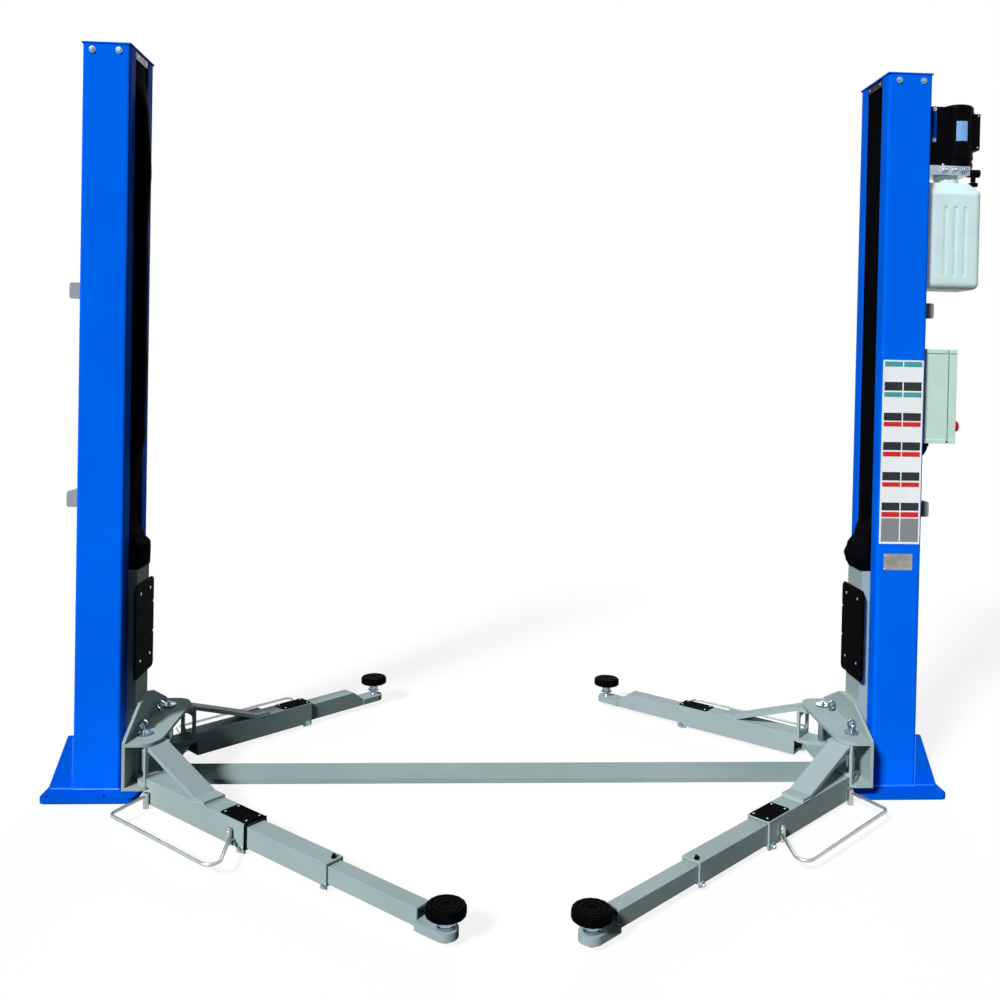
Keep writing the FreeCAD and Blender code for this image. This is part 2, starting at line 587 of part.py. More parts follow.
def make_door_guard(side):
    """Rubber plate on the front of the carriage where a car's door could touch it."""
    outline = [("-guard_half", "guard_bottom"), ("guard_half", "guard_bottom"),
               ("guard_half", "guard_top"), ("-guard_half", "guard_top")]
    guard = plate(f"{side}_guard", "YZ_Plane", outline,
                  *across(side, "neck_front - guard_sheet", "neck_front"))
    rounded(guard, "guard_corner", lambda edge: runs_along(edge, "x"))
    node(f"{side}_door_guard", guard)


def make_slide_blocks(side):
    """Four plastic blocks that wrap the ends of the carriage flanges inside the post."""
    wing = "post_gap_half + post_wall + flange_gap"
    lip_side = "post_gap_half + post_wall + slide_gap"
    wall_side = "post_depth / 2 - post_wall - slide_gap"
    inner_end = "flange_half - slide_cover"
    slide_far = f"{wing} + carriage_sheet + slide_back"
    blocks = []
    for level, low in (("lower", "carriage_bottom + slide_inset"),
                       ("upper", "carriage_top - slide_inset - slide_height")):
        for end, turn in (("front", "-"), ("back", "")):
            section = [
                (lip_side, inner_end), (lip_side, f"{wall_side} - slide_chamfer"),
                (f"{lip_side} + slide_chamfer", wall_side), (slide_far, wall_side),
                (slide_far, "flange_half"), (wing, "flange_half"), (wing, inner_end),
            ]
            section = [(f"{SIDES[side]}({x})", f"{turn}({y})") for x, y in section]
            blocks.append(plate(f"{side}_{level}_{end}_slide", "XY_Plane", section, low,
                                f"{low} + slide_height"))
    node(f"{side}_slide_blocks", group(f"{side}_slides", *blocks))


def make_lock(name, sign, turn):
    """Lock pin with its pull ring, and the toothed block that it moves, drawn back from the ear's teeth."""
    x, y = f"{sign}({LOCK_ACROSS})", f"{turn}({LOCK_ALONG})"
    under = "bracket_top - bracket_sheet"
    low, height = f"{under} - ear_top_gap - ear_sheet", "ear_sheet"
    stem = round_bar(f"{name}_lock_stem", "lock_radius", (x, y, low),
                     f"bracket_top + lock_height - ({low})")
    ring_turn = (0, 1, 0)
    ring_start = (x, f"{y} - lock_ring_sheet / 2", "bracket_top + lock_height + lock_ring_bore")
    ring = cut(f"{name}_lock_ring",
               round_bar(f"{name}_ring_disc", "lock_ring_radius", ring_start, "lock_ring_sheet", ring_turn),
               round_bar(f"{name}_ring_bore", "lock_ring_bore", ring_start, "lock_ring_sheet", ring_turn))

    heading = {"-": {"-": "180 - lock_turn", "": "180 + lock_turn"},
               "": {"-": "lock_turn", "": "-lock_turn"}}[sign][turn]
    near = "ear_radius + pawl_gap"
    pieces = []
    for part, radius in (("back", f"{near} + pawl_depth"), ("face", near)):
        sector = doc.addObject("Part::Cylinder", f"{name}_pawl_{part}")
        sector.Placement = Placement(Vector(), Rotation(Vector(0, 0, 1), 0))
        sector.setExpression("Radius", tied(radius))
        sector.setExpression("Height", tied(height))
        if part == "back":
            sector.setExpression("Angle", tied("pawl_spread"))
            turned_by = Rotation(Vector(0, 0, 1), size_of(f"{heading} - pawl_spread / 2"))
            sector.Placement = Placement(Vector(), turned_by)
            sector.setExpression("Placement.Rotation.Angle", tied(f"{heading} - pawl_spread / 2"))
        pieces.append(place(sector, f"{sign}pivot_across", f"{turn}pivot_along", low))
    block_body = cut(f"{name}_pawl_block", *pieces)
    teeth = []
    for number in (-1, 0, 1):
        angle = f"({heading} + {number} * 360 / tooth_count)"
        centre = (f"{sign}pivot_across + ({near}) * cos({angle})",
                  f"{turn}pivot_along + ({near}) * sin({angle})", low)
        teeth.append(round_bar(f"{name}_tooth{number + 2}", "tooth_notch - tooth_play", centre, height))
    return joined(f"{name}_lock", stem, ring, block_body, *teeth)


def make_pins(side):
    """Two pivot pins, and the lock pin with its pull ring and toothed block beside each."""
    sign = SIDES[side]
    pins = []
    for end, turn in (("front", "-"), ("back", "")):
        name = f"{side}_{end}"
        x, y = f"{sign}pivot_across", f"{turn}pivot_along"
        shaft = round_bar(f"{name}_pin_shaft", "pin_radius", (x, y, "carriage_bottom - pin_tail"),
                          "bracket_top + pin_head - carriage_bottom + pin_tail")
        head = round_bar(f"{name}_pin_head", "pin_head_radius", (x, y, "bracket_top"), "pin_head")
        tail = round_bar(f"{name}_pin_nut", "pin_tail_radius", (x, y, "carriage_bottom - pin_tail"),
                         "pin_tail")
        pins.append(joined(f"{name}_pin", shaft, head, tail))

        pins.append(make_lock(name, sign, turn))
    node(f"{side}_arm_pins", group(f"{side}_pins", *pins))


def toothed_ear(name, low):
    """Flat ear whose round end carries the teeth that the lock grips."""
    high = f"{low} + ear_sheet"
    outline = [("root_plate + root_sheet", "-root_half"), ("root_plate + root_sheet", "root_half"),
               ("ear_lobe", "ear_lobe_half"), ("0", "ear_radius - tooth_notch"),
               ("0", "-(ear_radius - tooth_notch)"), ("ear_lobe", "-ear_lobe_half")]
    leaf = plate(f"{name}_leaf", "XY_Plane", outline, low, high)

    hub = doc.addObject("PartDesign::Body", f"{name}_hub")
    for feature, kind, radius, centre in (("disc", "PartDesign::Pad", "ear_radius", "0"),
                                          ("notch", "PartDesign::Pocket", "tooth_notch", "-ear_radius")):
        sketch = new_sketch(hub, f"{name}_{feature}_sketch", "XY_Plane", low)
        ring = Part.Circle(Vector(size_of(centre), 0, 0), Vector(0, 0, 1), size_of(radius))
        sketch.addGeometry(ring, False)
        index = sketch.addConstraint(Sketcher.Constraint("Radius", 0, size_of(radius)))
        sketch.setExpression(f"Constraints[{index}]", tied(radius))
        index = sketch.addConstraint(Sketcher.Constraint("DistanceX", -1, 1, 0, 3, size_of(centre)))
        sketch.setExpression(f"Constraints[{index}]", tied(centre))
        sketch.addConstraint(Sketcher.Constraint("PointOnObject", 0, 3, -1))
        step = hub.newObject(kind, f"{name}_{feature}")
        step.Profile = sketch
        step.setExpression("Length", tied("ear_sheet"))
        step.Reversed = feature == "notch"
        doc.recompute()
    teeth = hub.newObject("PartDesign::PolarPattern", f"{name}_teeth")
    teeth.Originals = [step]
    axis = next(feature for feature in hub.Origin.OriginFeatures if feature.Role == "Z_Axis")
    teeth.Axis = (axis, [""])
    teeth.Angle = 360
    teeth.setExpression("Occurrences", tied("tooth_count"))
    hub.Tip = teeth
    doc.recompute()
    return leaf, hub


def square_tube(name, start, end, bottom, side, wall):
    """Square tube along the arm, open at both ends."""
    tube = block(f"{name}_skin", (start, end), (f"-({side}) / 2", f"({side}) / 2"),
                 (bottom, f"{bottom} + {side}"))
    bore = block(f"{name}_bore", (f"{start} - 1", f"{end} + 1"),
                 (f"-({side}) / 2 + {wall}", f"({side}) / 2 - {wall}"),
                 (f"{bottom} + {wall}", f"{bottom} + {side} - {wall}"))
    return tube, bore


def end_tabs(name, end, length, bottom, side, wall):
    """Two tabs that stand below the end of a tube, in line with its side walls."""
    tabs = []
    for hand in ("-", ""):
        low, high = (f"{side} / 2 - {wall}", f"{side} / 2")
        if hand:
            low, high = f"-({high})", f"-({low})"
        tabs.append(block(f"{name}_tab_{'near' if hand else 'far'}", (f"{end} - {length}", end), (low, high),
                          (f"{bottom} - tab_drop", f"{bottom} + {wall}")))
    return tabs


ARMS = {
    "front_left": {"side": "left", "turn": "-front_left_angle", "ahead": "-", "hand": "-"},
    "front_right": {"side": "right", "turn": "180 + front_right_angle", "ahead": "-", "hand": ""},
    "rear_left": {"side": "left", "turn": "rear_left_angle", "ahead": "", "hand": ""},
    "rear_right": {"side": "right", "turn": "180 - rear_right_angle", "ahead": "", "hand": "-"},
}
MIDDLE_BOTTOM = "outer_bottom + outer_wall + tube_gap"
INNER_BOTTOM = f"{MIDDLE_BOTTOM} + middle_wall + tube_gap"


def set_on_pivot(solid, arm):
    """Turn a solid that was drawn along X to its arm's direction and move it to the pivot."""
    solid.Placement = Placement(Vector(), Rotation(Vector(0, 0, 1), size_of(ARMS[arm]["turn"])))
    solid.setExpression("Placement.Rotation.Angle", tied(ARMS[arm]["turn"]))
    return place(solid, SIDES[ARMS[arm]["side"]] + "pivot_across", ARMS[arm]["ahead"] + "pivot_along", "0")


def make_outer_arm(arm):
    """Welded arm: two toothed ears, root plate, square tube and the strap that braces it."""
    lower_ear = "carriage_bottom + bracket_sheet + ear_gap"
    upper_ear = "bracket_top - bracket_sheet - ear_top_gap - ear_sheet"
    ears = toothed_ear(f"{arm}_lower", lower_ear) + toothed_ear(f"{arm}_upper", upper_ear)
    root = block(f"{arm}_root", ("root_plate", "root_plate + root_sheet"), ("-root_half", "root_half"),
                 (lower_ear, f"{upper_ear} + ear_sheet"))
    window_half = "(root_half - window_frame)"
    sill, head = f"{lower_ear} + ear_sheet + window_margin", f"{upper_ear} - window_margin"
    window = plate(f"{arm}_window", "YZ_Plane", [(f"-{window_half}", sill), (window_half, sill),
                                                 (window_half, head), (f"-{window_half}", head)],
                   "root_plate - 1", "root_plate + root_sheet + 1")
    rounded(window, "window_corner", lambda edge: runs_along(edge, "x"))
    root = cut(f"{arm}_root_frame", root, window)
    tube, bore = square_tube(f"{arm}_outer", "root_plate + root_sheet", "outer_end", "outer_bottom",
                             "outer_side", "outer_wall")
    tabs = end_tabs(f"{arm}_outer", "outer_end", "outer_tab", "outer_bottom", "outer_side", "outer_wall")
    tube_top = "outer_bottom + outer_side"
    strap_end = "grip_start - strap_run"
    strap_land = f"{strap_end} - strap_lap"
    strap_outline = [
        ("root_plate", upper_ear), ("root_plate", f"{upper_ear} + ear_sheet"),
        ("root_plate + root_sheet", f"{upper_ear} + ear_sheet"), (strap_land, f"{tube_top} + strap_sheet"),
        (strap_end, f"{tube_top} + strap_sheet"), (strap_end, tube_top),
        (f"{strap_land} - strap_sheet", tube_top), ("root_plate + root_sheet", upper_ear),
    ]
    strap = plate(f"{arm}_strap", "XZ_Plane", strap_outline, "-strap_half", "strap_half")
    hole = round_bar(f"{arm}_pin_hole", "pin_radius + pin_gap", ("0", "0", "carriage_bottom"),
                     "bracket_top")
    heel = block(f"{arm}_heel", ("root_plate", "outer_heel"), ("-outer_side", "outer_side"),
                 ("0", lower_ear))
    hollow = cut(f"{arm}_outer_hollow", tube, bore, heel)
    weldment = joined(f"{arm}_weldment", *ears, root, hollow, strap, *tabs)
    node(f"{arm}_arm", set_on_pivot(cut(f"{arm}_outer_arm", weldment, hole), arm))


def make_grip(arm):
    """Rubber sheet on top of the outer tube's end."""
    top = "outer_bottom + outer_side"
    half = "(outer_side / 2 - grip_margin)"
    outline = [("grip_start", f"-{half}"), ("outer_end", f"-{half}"), ("outer_end", half),
               ("grip_start", half)]
    grip = plate(f"{arm}_grip_body", "XY_Plane", outline, top, f"{top} + grip_sheet")
    rounded(grip, "grip_corner", lambda edge: runs_along(edge, "z"))
    node(f"{arm}_grip", set_on_pivot(grip, arm))


def make_foot_guard(arm):
    """Bent rod beside the arm that keeps feet away, on a short bush under the root plate."""
    hand = -1 if ARMS[arm]["hand"] == "-" else 1
    height = size_of("foot_height")
    beside = "outer_side / 2 + tube_gap"
    route = [("foot_post", f"{beside} + foot_post_radius"), ("foot_near", "foot_out"),
             ("foot_end + foot_run", "foot_out"), ("foot_end", f"{beside} + foot_rod")]
    points = [Vector(size_of(along), hand * size_of(out), height) for along, out in route]
    bend = size_of("foot_bend")
    edges = []
    start = points[0]
    for before, corner, after in zip(points, points[1:], points[2:]):
        back, ahead = (before - corner).normalize(), (after - corner).normalize()
        half_turn = (math.pi - back.getAngle(ahead)) / 2
        trim = bend * math.tan(half_turn)
        first, last = corner + back * trim, corner + ahead * trim
        middle_line = (back + ahead).normalize()
        centre = corner + middle_line * (bend / math.cos(half_turn))
        edges.append(Part.LineSegment(start, first).toShape())
        edges.append(Part.Arc(first, centre - middle_line * bend, last).toShape())
        start = last
    edges.append(Part.LineSegment(start, points[-1]).toShape())
    path = Part.Wire(edges)
    section = Part.Wire(Part.makeCircle(size_of("foot_rod"), points[0], points[1] - points[0]))
    rod = path.makePipeShell([section], True, True)
    bush = Part.makeCylinder(size_of("foot_post_radius"), size_of("foot_post_above + foot_post_below"),
                             Vector(points[0].x, points[0].y, size_of("foot_height - foot_post_below")))
    guard = doc.addObject("Part::Feature", f"{arm}_foot_rod")
    guard.Shape = rod.fuse(bush).removeSplitter()
    node(f"{arm}_foot_guard", set_on_pivot(guard, arm))


def make_pad(arm, lift):
    """Screw with its collar, and the round rubber pad on top, in the lug of the last tube."""
    reach = f"{arm}_reach"
    stem = round_bar(f"{arm}_stem", "stem_radius", (reach, "0", f"stem_bottom + {lift}"),
                     "lug_bottom + lug_sheet + collar_gap - stem_bottom + 1")
    collar_low = f"lug_bottom + lug_sheet + collar_gap + {lift}"
    collar = round_bar(f"{arm}_collar", "collar_radius", (reach, "0", collar_low), "collar_height")
    node(f"{arm}_pad_screw", set_on_pivot(joined(f"{arm}_screw", stem, collar), arm))
    disc_low = f"{collar_low} + collar_height"
    disc = round_bar(f"{arm}_disc", "pad_radius", (reach, "0", disc_low), "pad_sheet - pad_step")
    face = round_bar(f"{arm}_disc_face", "pad_radius - pad_step", (reach, "0", disc_low), "pad_sheet")
    node(f"{arm}_pad", set_on_pivot(joined(f"{arm}_pad_body", disc, face), arm))


def make_last_tube(arm, start, bottom, side, wall):
    """Last tube of an arm with the thick lug that holds the pad's screw."""
    reach = f"{arm}_reach"
    end = f"{reach} - lug_reach"
    tube, bore = square_tube(f"{arm}_inner", start, end, bottom, side, wall)
    lug_high = "lug_bottom + lug_sheet"
    lug = block(f"{arm}_lug", (f"{end} - lug_lap", reach),
                (f"-({side}) / 2 + {wall}", f"({side}) / 2 - {wall}"),
                (bottom, lug_high))
    tongue = block(f"{arm}_tongue", (end, reach), ("-lug_radius", "lug_radius"), ("lug_bottom", lug_high))
    tip = round_bar(f"{arm}_lug_end", "lug_radius", (reach, "0", "lug_bottom"), "lug_sheet")
    hole = round_bar(f"{arm}_lug_hole", "stem_radius + pin_gap", (reach, "0", "lug_bottom - 1"),
                     "lug_sheet + 2")
    waste = [bore]
    if arm.startswith("rear"):
        top = f"{bottom} + {side}"
        slope = [(f"{end} - rear_slope", top), (f"{end} + 1", top), (f"{end} + 1", lug_high),
                 (end, lug_high)]
        waste.append(plate(f"{arm}_slope", "XZ_Plane", slope, f"-({side})", side))
    hollow = cut(f"{arm}_hollow", tube, *waste)
    weldment = joined(f"{arm}_last_tube", hollow, lug, tongue, tip)
    node(f"{arm}_inner_tube", set_on_pivot(cut(f"{arm}_inner_arm", weldment, hole), arm))


def make_middle_tube(arm):
    """Middle stage of a front arm."""
    tube, bore = square_tube(f"{arm}_middle", "middle_start", "middle_end", MIDDLE_BOTTOM,
                             "middle_side", "middle_wall")
    tabs = end_tabs(f"{arm}_middle", "middle_end", "middle_tab", MIDDLE_BOTTOM, "middle_side",
                    "middle_wall")
    hollow = cut(f"{arm}_middle_hollow", tube, bore)
    node(f"{arm}_middle_tube", set_on_pivot(joined(f"{arm}_middle_arm", hollow, *tabs), arm))


def make_arm(arm):
    """One telescopic arm."""
    make_outer_arm(arm)
    make_grip(arm)
    make_foot_guard(arm)
    if arm.startswith("front"):
        make_middle_tube(arm)
        make_last_tube(arm, "inner_start", INNER_BOTTOM, "inner_side", "inner_wall")
        make_pad(arm, "0")
    else:
        make_last_tube(arm, "rear_start", MIDDLE_BOTTOM, "middle_side", "middle_wall")
        make_pad(arm, "rear_pad_lift")


def make_cylinders():
    """Lifting cylinders inside the posts, one solid in each."""
    barrels = []
    for side, sign in SIDES.items():
        x = f"{sign}cylinder_across"
        barrel = round_bar(f"{side}_barrel", "cylinder_radius", (x, "0", "base_thickness"),
                           "cylinder_top - base_thickness")
        bore_low = "base_thickness + cylinder_wall"
        bore = round_bar(f"{side}_barrel_bore", "cylinder_radius - cylinder_wall", (x, "0", bore_low),
                         f"cylinder_top - gland_height - ({bore_low})")
        gland = round_bar(f"{side}_gland_bore", "rod_radius + rod_gap", (x, "0", bore_low), "cylinder_top")
        barrels.append(cut(f"{side}_cylinder", barrel, bore, gland))
    node("lifting_cylinders", group("cylinders", *barrels))


def make_lift_rod(side):
    """Piston rod with the sheave that the lifting chain runs over."""
    x = f"{SIDES[side]}cylinder_across"
    piston = round_bar(f"{side}_piston", "cylinder_radius - cylinder_wall - rod_gap",
                       (x, "0", "piston_bottom"), "piston_height")
    rod = round_bar(f"{side}_rod_bar", "rod_radius", (x, "0", "piston_bottom"), "rod_top - piston_bottom")
    half = "sheave_width / 2 + fork_gap"
    span = across(side, "cylinder_across - rod_radius", "cylinder_across + rod_radius")
    bridge = block(f"{side}_fork_bridge", span, (f"-({half} + fork_sheet)", f"{half} + fork_sheet"),
                   ("rod_top - fork_sheet", "rod_top"))
    centre = "rod_top + sheave_radius + sheave_gap"
    cheeks = []
    for end, turn in (("front", "-"), ("back", "")):
        low, high = (half, f"{half} + fork_sheet")
        if turn:
            low, high = f"-({high})", f"-({low})"
        cheeks.append(block(f"{side}_{end}_cheek", span, (low, high), ("rod_top - fork_sheet",
                                                                    f"{centre} + rod_radius")))
    axle = round_bar(f"{side}_sheave_axle", "sheave_axle", (x, f"-({half} + fork_sheet)", centre),
                     f"2 * ({half} + fork_sheet)", along=(0, 1, 0))
    sheave = round_bar(f"{side}_sheave", "sheave_radius", (x, "-sheave_width / 2", centre), "sheave_width",
                       along=(0, 1, 0))
    node(f"{side}_lift_rod", joined(f"{side}_rod_set", piston, rod, bridge, *cheeks, axle, sheave))


def make_curtain(side):
    """Dust curtain that closes the slot above the carriage."""
    near = "curtain_back - curtain_sheet"
    curtain = block(f"{side}_curtain_sheet", across(side, near, "curtain_back"),
                    ("-curtain_half", "curtain_half"),
                    ("carriage_top + curtain_gap", "post_top - curtain_top_gap"))
    node(f"{side}_dust_curtain", curtain)


def make_lock_covers():
    """Sheet covers over the safety catches on the outer side of each post, open at the bottom."""
    covers = []
    for side in SIDES:
        for level in ("low", "high"):
            name, bottom = f"{side}_{level}_catch", f"catch_{level}"
            face = "post_face"
            near, far = across(side, face, f"{face} + catch_reach")
            top = f"{bottom} + catch_height"
            shell = plate(name, "XZ_Plane", [(near, bottom), (far, bottom), (far, top), (near, top)],
                          "-catch_half", "catch_half")
            rim = size_of(f"{face} + catch_reach")
            rounded(shell, "catch_corner", lambda edge: runs_along(edge, "y")
                    and abs(abs(edge.Vertexes[0].Point.x) - rim) < 0.01)
            room = block(f"{name}_room", across(side, f"{face} - 1", f"{face} + catch_reach - catch_sheet"),
                         ("-(catch_half - catch_sheet)", "catch_half - catch_sheet"),
                         (f"{bottom} - 1", f"{bottom} + catch_height - catch_sheet"))
            covers.append(cut(f"{name}_cover", shell, room))
    node("lock_covers", group("catch_covers", *covers))


def make_power_unit():
    """Motor, pump block, oil tank and the plate that carries them on the right post."""
    face = "post_face"
    plate_top = "unit_plate_bottom + unit_plate_height"
    node("power_unit_plate", block("unit_back_plate", (face, f"{face} + unit_plate"),
                                   ("-unit_plate_half", "unit_plate_half"),
                                   ("unit_plate_bottom", plate_top)))
    profile = [("motor_radius", "motor_bottom"), ("motor_radius", "motor_bottom + motor_flange"),
               ("motor_radius - motor_neck", "motor_bottom + motor_flange"),
               ("motor_radius - motor_neck", "motor_bottom + motor_flange * 2"),
               ("motor_radius", "motor_bottom + motor_flange * 2"), ("motor_radius", "motor_top"),
               ("0", "motor_top"), ("0", "motor_bottom")]
    barrel = turned("motor_barrel", profile, "motor_across")
    rounded(barrel, "motor_edge", lambda edge: edge.Curve.TypeId == "Part::GeomCircle"
            and edge.BoundBox.ZMin > size_of("motor_top") - 0.01)
    foot = block("motor_foot", (f"{face} + unit_plate", "motor_across"),
                 ("-foot_plate_half", "foot_plate_half"),
                 ("motor_bottom + foot_plate_low", "motor_top - foot_plate_high"))
    node("motor", joined("motor_body", barrel, foot))

    terminal_top = "terminal_bottom + terminal_height"
    outline = [("-terminal_half", "terminal_bottom"), ("terminal_half", "terminal_bottom"),
               ("terminal_half", terminal_top), ("-terminal_half", terminal_top)]
    box = plate("terminal_shell", "YZ_Plane", outline, "motor_across", "terminal_reach")
    rounded(box, "terminal_corner", lambda edge: runs_along(edge, "x"))
    seat = round_bar("terminal_seat", "motor_radius", ("motor_across", "0", "motor_bottom"),
                     "motor_height * 2")
    node("terminal_box", cut("terminal_body", box, seat))

    pump = block("pump_body", (f"{face} + unit_plate", "block_outer"), ("-block_half", "block_half"),
                 ("block_bottom", "motor_bottom"))
    plugs = []
    for number in range(int(size_of("plug_count"))):
        start = (f"block_outer - plug_pitch * {number + 0.6}", "-block_half - plug_reach",
                 "block_bottom + block_height / 2")
        plugs.append(round_bar(f"pump_plug{number + 1}", "plug_radius", start, "plug_reach + 1",
                               along=(0, 1, 0)))
    node("pump_block", joined("pump_weldment", pump, *plugs))
    valve_z = "block_bottom + valve_rise"
    stem = round_bar("valve_stem", "valve_radius", ("block_outer", "-valve_front", valve_z),
                     "valve_length", along=(1, 0, 0))
    low = ("block_outer + valve_length / 2", "-valve_front", f"{valve_z} - valve_drop")
    handle = round_bar("valve_handle", "valve_grip", low, "valve_drop")
    node("lowering_valve", joined("valve_body", stem, handle))
    make_tank()


def turned(name, profile, axis_across):
    """Turn a profile of radius and height pairs round an upright axis."""
    body = doc.addObject("PartDesign::Body", name)
    sketch = new_sketch(body, name + "_profile", "XZ_Plane", "0")
    draw_outline(sketch, profile)
    turn = body.newObject("PartDesign::Revolution", name + "_turned")
    turn.Profile = sketch
    turn.ReferenceAxis = (sketch, ["V_Axis"])
    turn.Angle = 360
    return place(body, axis_across, "0", "0")


def make_tank():
    """Moulded oil tank with a shoulder, a round neck and upright flutes front and back."""
    profile = [("tank_inner", "tank_bottom"), ("tank_outer", "tank_bottom"), ("tank_outer", "tank_shoulder"),
               ("tank_outer - shoulder_width", "tank_top"), ("tank_inner", "tank_top")]
    body = plate("tank_body", "XZ_Plane", profile, "-tank_half", "tank_half")
    foot = size_of("tank_bottom") + 0.01
    rounded(body, "tank_corner", lambda edge: runs_along(edge, "z") or edge.BoundBox.ZMax < foot)
    neck = round_bar("tank_neck", "neck_radius", ("motor_across - neck_inset", "0", "tank_top - 1"),
                     "neck_height + 1")
    flutes = []
    for side, turn in (("front", "-"), ("back", "")):
        outer, inner = f"{turn}(tank_half + 1)", f"{turn}(tank_half - shoulder_side)"
        wedge = [(outer, "tank_shoulder"), (f"{turn}tank_half", "tank_shoulder"), (inner, "tank_top"),
                 (inner, "tank_top + 1"), (outer, "tank_top + 1")]
        flutes.append(plate(f"{side}_shoulder", "YZ_Plane", wedge if turn else wedge[::-1],
                            "tank_inner - 1", "tank_outer + 1"))
    count = int(size_of("flute_count"))
    for side, turn in (("front", "-"), ("back", "")):
        for number in range(count):
            x = f"tank_inner + tank_width / 2 + flute_pitch * {number - (count - 1) / 2}"
            start = (x, f"{turn}(tank_half + flute_radius - flute_depth)", "tank_bottom + flute_margin")
            flutes.append(round_bar(f"{side}_flute{number + 1}", "flute_radius", start,
                                    "tank_shoulder - tank_bottom - 2 * flute_margin"))
    node("oil_tank", joined("tank", cut("tank_shell", body, *flutes), neck))


def make_control_box():
    """Control box on the outer side of the right post, with its lid and emergency stop."""
    face = "post_face"
    for name, near, far in (("control_box", face, f"{face} + panel_depth"),
                            ("control_box_lid", f"{face} + panel_depth",
                             f"{face} + panel_depth + panel_lid")):
        outline = [("-panel_half", "panel_bottom"), ("panel_half", "panel_bottom"),
                   ("panel_half", "panel_top"), ("-panel_half", "panel_top")]
        shell = plate(f"{name}_body", "YZ_Plane", outline, near, far)
        rounded(shell, "panel_corner", lambda edge: runs_along(edge, "x"))
        node(name, shell)
    lid_face = f"{face} + panel_depth + panel_lid"
    stem = round_bar("stop_stem", "stop_neck", (lid_face, "-stop_front", "stop_height"), "stop_reach",
                     along=(1, 0, 0))
    knob = round_bar("stop_knob", "stop_radius",
                     (f"{lid_face} + stop_reach - stop_cap", "-stop_front", "stop_height"),
                     "stop_cap", along=(1, 0, 0))
    node("emergency_stop", joined("stop_body", stem, knob))


for side in SIDES:
    make_post(side)
    make_base(side)
    make_carriage(side)
    make_door_guard(side)
    make_slide_blocks(side)
    make_pins(side)
    make_curtain(side)
    make_lift_rod(side)
make_floor_cover()
make_cylinders()
make_lock_covers()
make_power_unit()
make_control_box()
for arm in ARMS:
    make_arm(arm)
doc.recompute()

for item in doc.Objects:
    if "Invalid" in item.State or "Error" in item.State:
        raise RuntimeError(f"{item.Name} failed: {item.State}")
os.makedirs("parts", exist_ok=True)
for item in nodes:
    if item.Shape.isNull() or not item.Shape.isValid():
        raise RuntimeError(f"{item.Label} has no valid shape")
    item.Shape.exportStep(f"parts/{item.Label}.step")
print(len(nodes), "sub-parts written")
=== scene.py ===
# %% [markdown]
# # A two post car lift
# Two steel posts stand on base plates, a carriage climbs each post, and two arms turn on each
# carriage. This lesson dresses the lift: the hard parts come ready made from the CAD frame and
# get their finishes here, and the soft parts, bolts, weld beads and labels are built as meshes.

# %% Load the frame
import json
import math
import bmesh
import bpy
from mathutils import Matrix, Vector

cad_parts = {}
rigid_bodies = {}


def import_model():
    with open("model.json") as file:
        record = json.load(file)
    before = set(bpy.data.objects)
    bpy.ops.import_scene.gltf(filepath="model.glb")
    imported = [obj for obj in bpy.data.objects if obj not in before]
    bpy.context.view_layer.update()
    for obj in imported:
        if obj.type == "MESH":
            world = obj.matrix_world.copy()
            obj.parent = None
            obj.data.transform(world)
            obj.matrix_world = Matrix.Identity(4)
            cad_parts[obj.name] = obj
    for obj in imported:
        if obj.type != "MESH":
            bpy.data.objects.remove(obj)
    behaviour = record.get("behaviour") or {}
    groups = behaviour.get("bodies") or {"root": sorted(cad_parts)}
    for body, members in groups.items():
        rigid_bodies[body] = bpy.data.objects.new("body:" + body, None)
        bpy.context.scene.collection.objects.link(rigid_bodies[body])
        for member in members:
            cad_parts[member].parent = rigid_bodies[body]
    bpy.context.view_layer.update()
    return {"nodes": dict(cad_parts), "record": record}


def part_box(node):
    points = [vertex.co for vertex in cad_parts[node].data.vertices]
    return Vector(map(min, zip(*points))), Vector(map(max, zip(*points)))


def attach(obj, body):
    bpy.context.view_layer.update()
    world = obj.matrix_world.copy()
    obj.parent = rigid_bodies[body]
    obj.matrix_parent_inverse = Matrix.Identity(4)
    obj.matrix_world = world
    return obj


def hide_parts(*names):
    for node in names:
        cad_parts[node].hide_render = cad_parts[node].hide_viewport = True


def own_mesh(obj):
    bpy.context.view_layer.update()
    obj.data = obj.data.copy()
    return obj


for leftover in list(bpy.data.objects):
    bpy.data.objects.remove(leftover)
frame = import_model()

# %% [markdown]
# ## Camera
# The picture was taken from standing height a little left of the middle. The lens is matched in
# pixels of a 1000 pixel wide frame, and the picture was cropped, so the camera has some shift.

# %% Camera
FRAME_PIXELS = 1000
SENSOR_WIDTH = 36.0
FOCAL_PIXELS = 1014.2
CENTRE_PIXELS = (527.06, 379.91)
CAMERA_PLACE = Vector((-0.17193, -4.02614, 1.6489))
YAW, PITCH, ROLL = 0.0591, -0.0141, 0.0202
forward = Vector((math.sin(YAW) * math.cos(PITCH), math.cos(YAW) * math.cos(PITCH), math.sin(PITCH)))
level_right = Vector((math.cos(YAW), -math.sin(YAW), 0))
level_up = level_right.cross(forward)
right = level_right * math.cos(ROLL) + level_up * math.sin(ROLL)
up = level_up * math.cos(ROLL) - level_right * math.sin(ROLL)
lens = bpy.data.cameras.new("camera")
lens.sensor_width = SENSOR_WIDTH
lens.lens = FOCAL_PIXELS / FRAME_PIXELS * SENSOR_WIDTH
lens.shift_x = 0.5 - CENTRE_PIXELS[0] / FRAME_PIXELS
lens.shift_y = CENTRE_PIXELS[1] / FRAME_PIXELS - 0.5
camera = bpy.data.objects.new("camera", lens)
bpy.context.scene.collection.objects.link(camera)
camera.matrix_world = Matrix.Translation(CAMERA_PLACE) @ Matrix((right, up, -forward)).transposed().to_4x4()
bpy.context.scene.camera = camera
print("lens", round(lens.lens, 2), "mm")

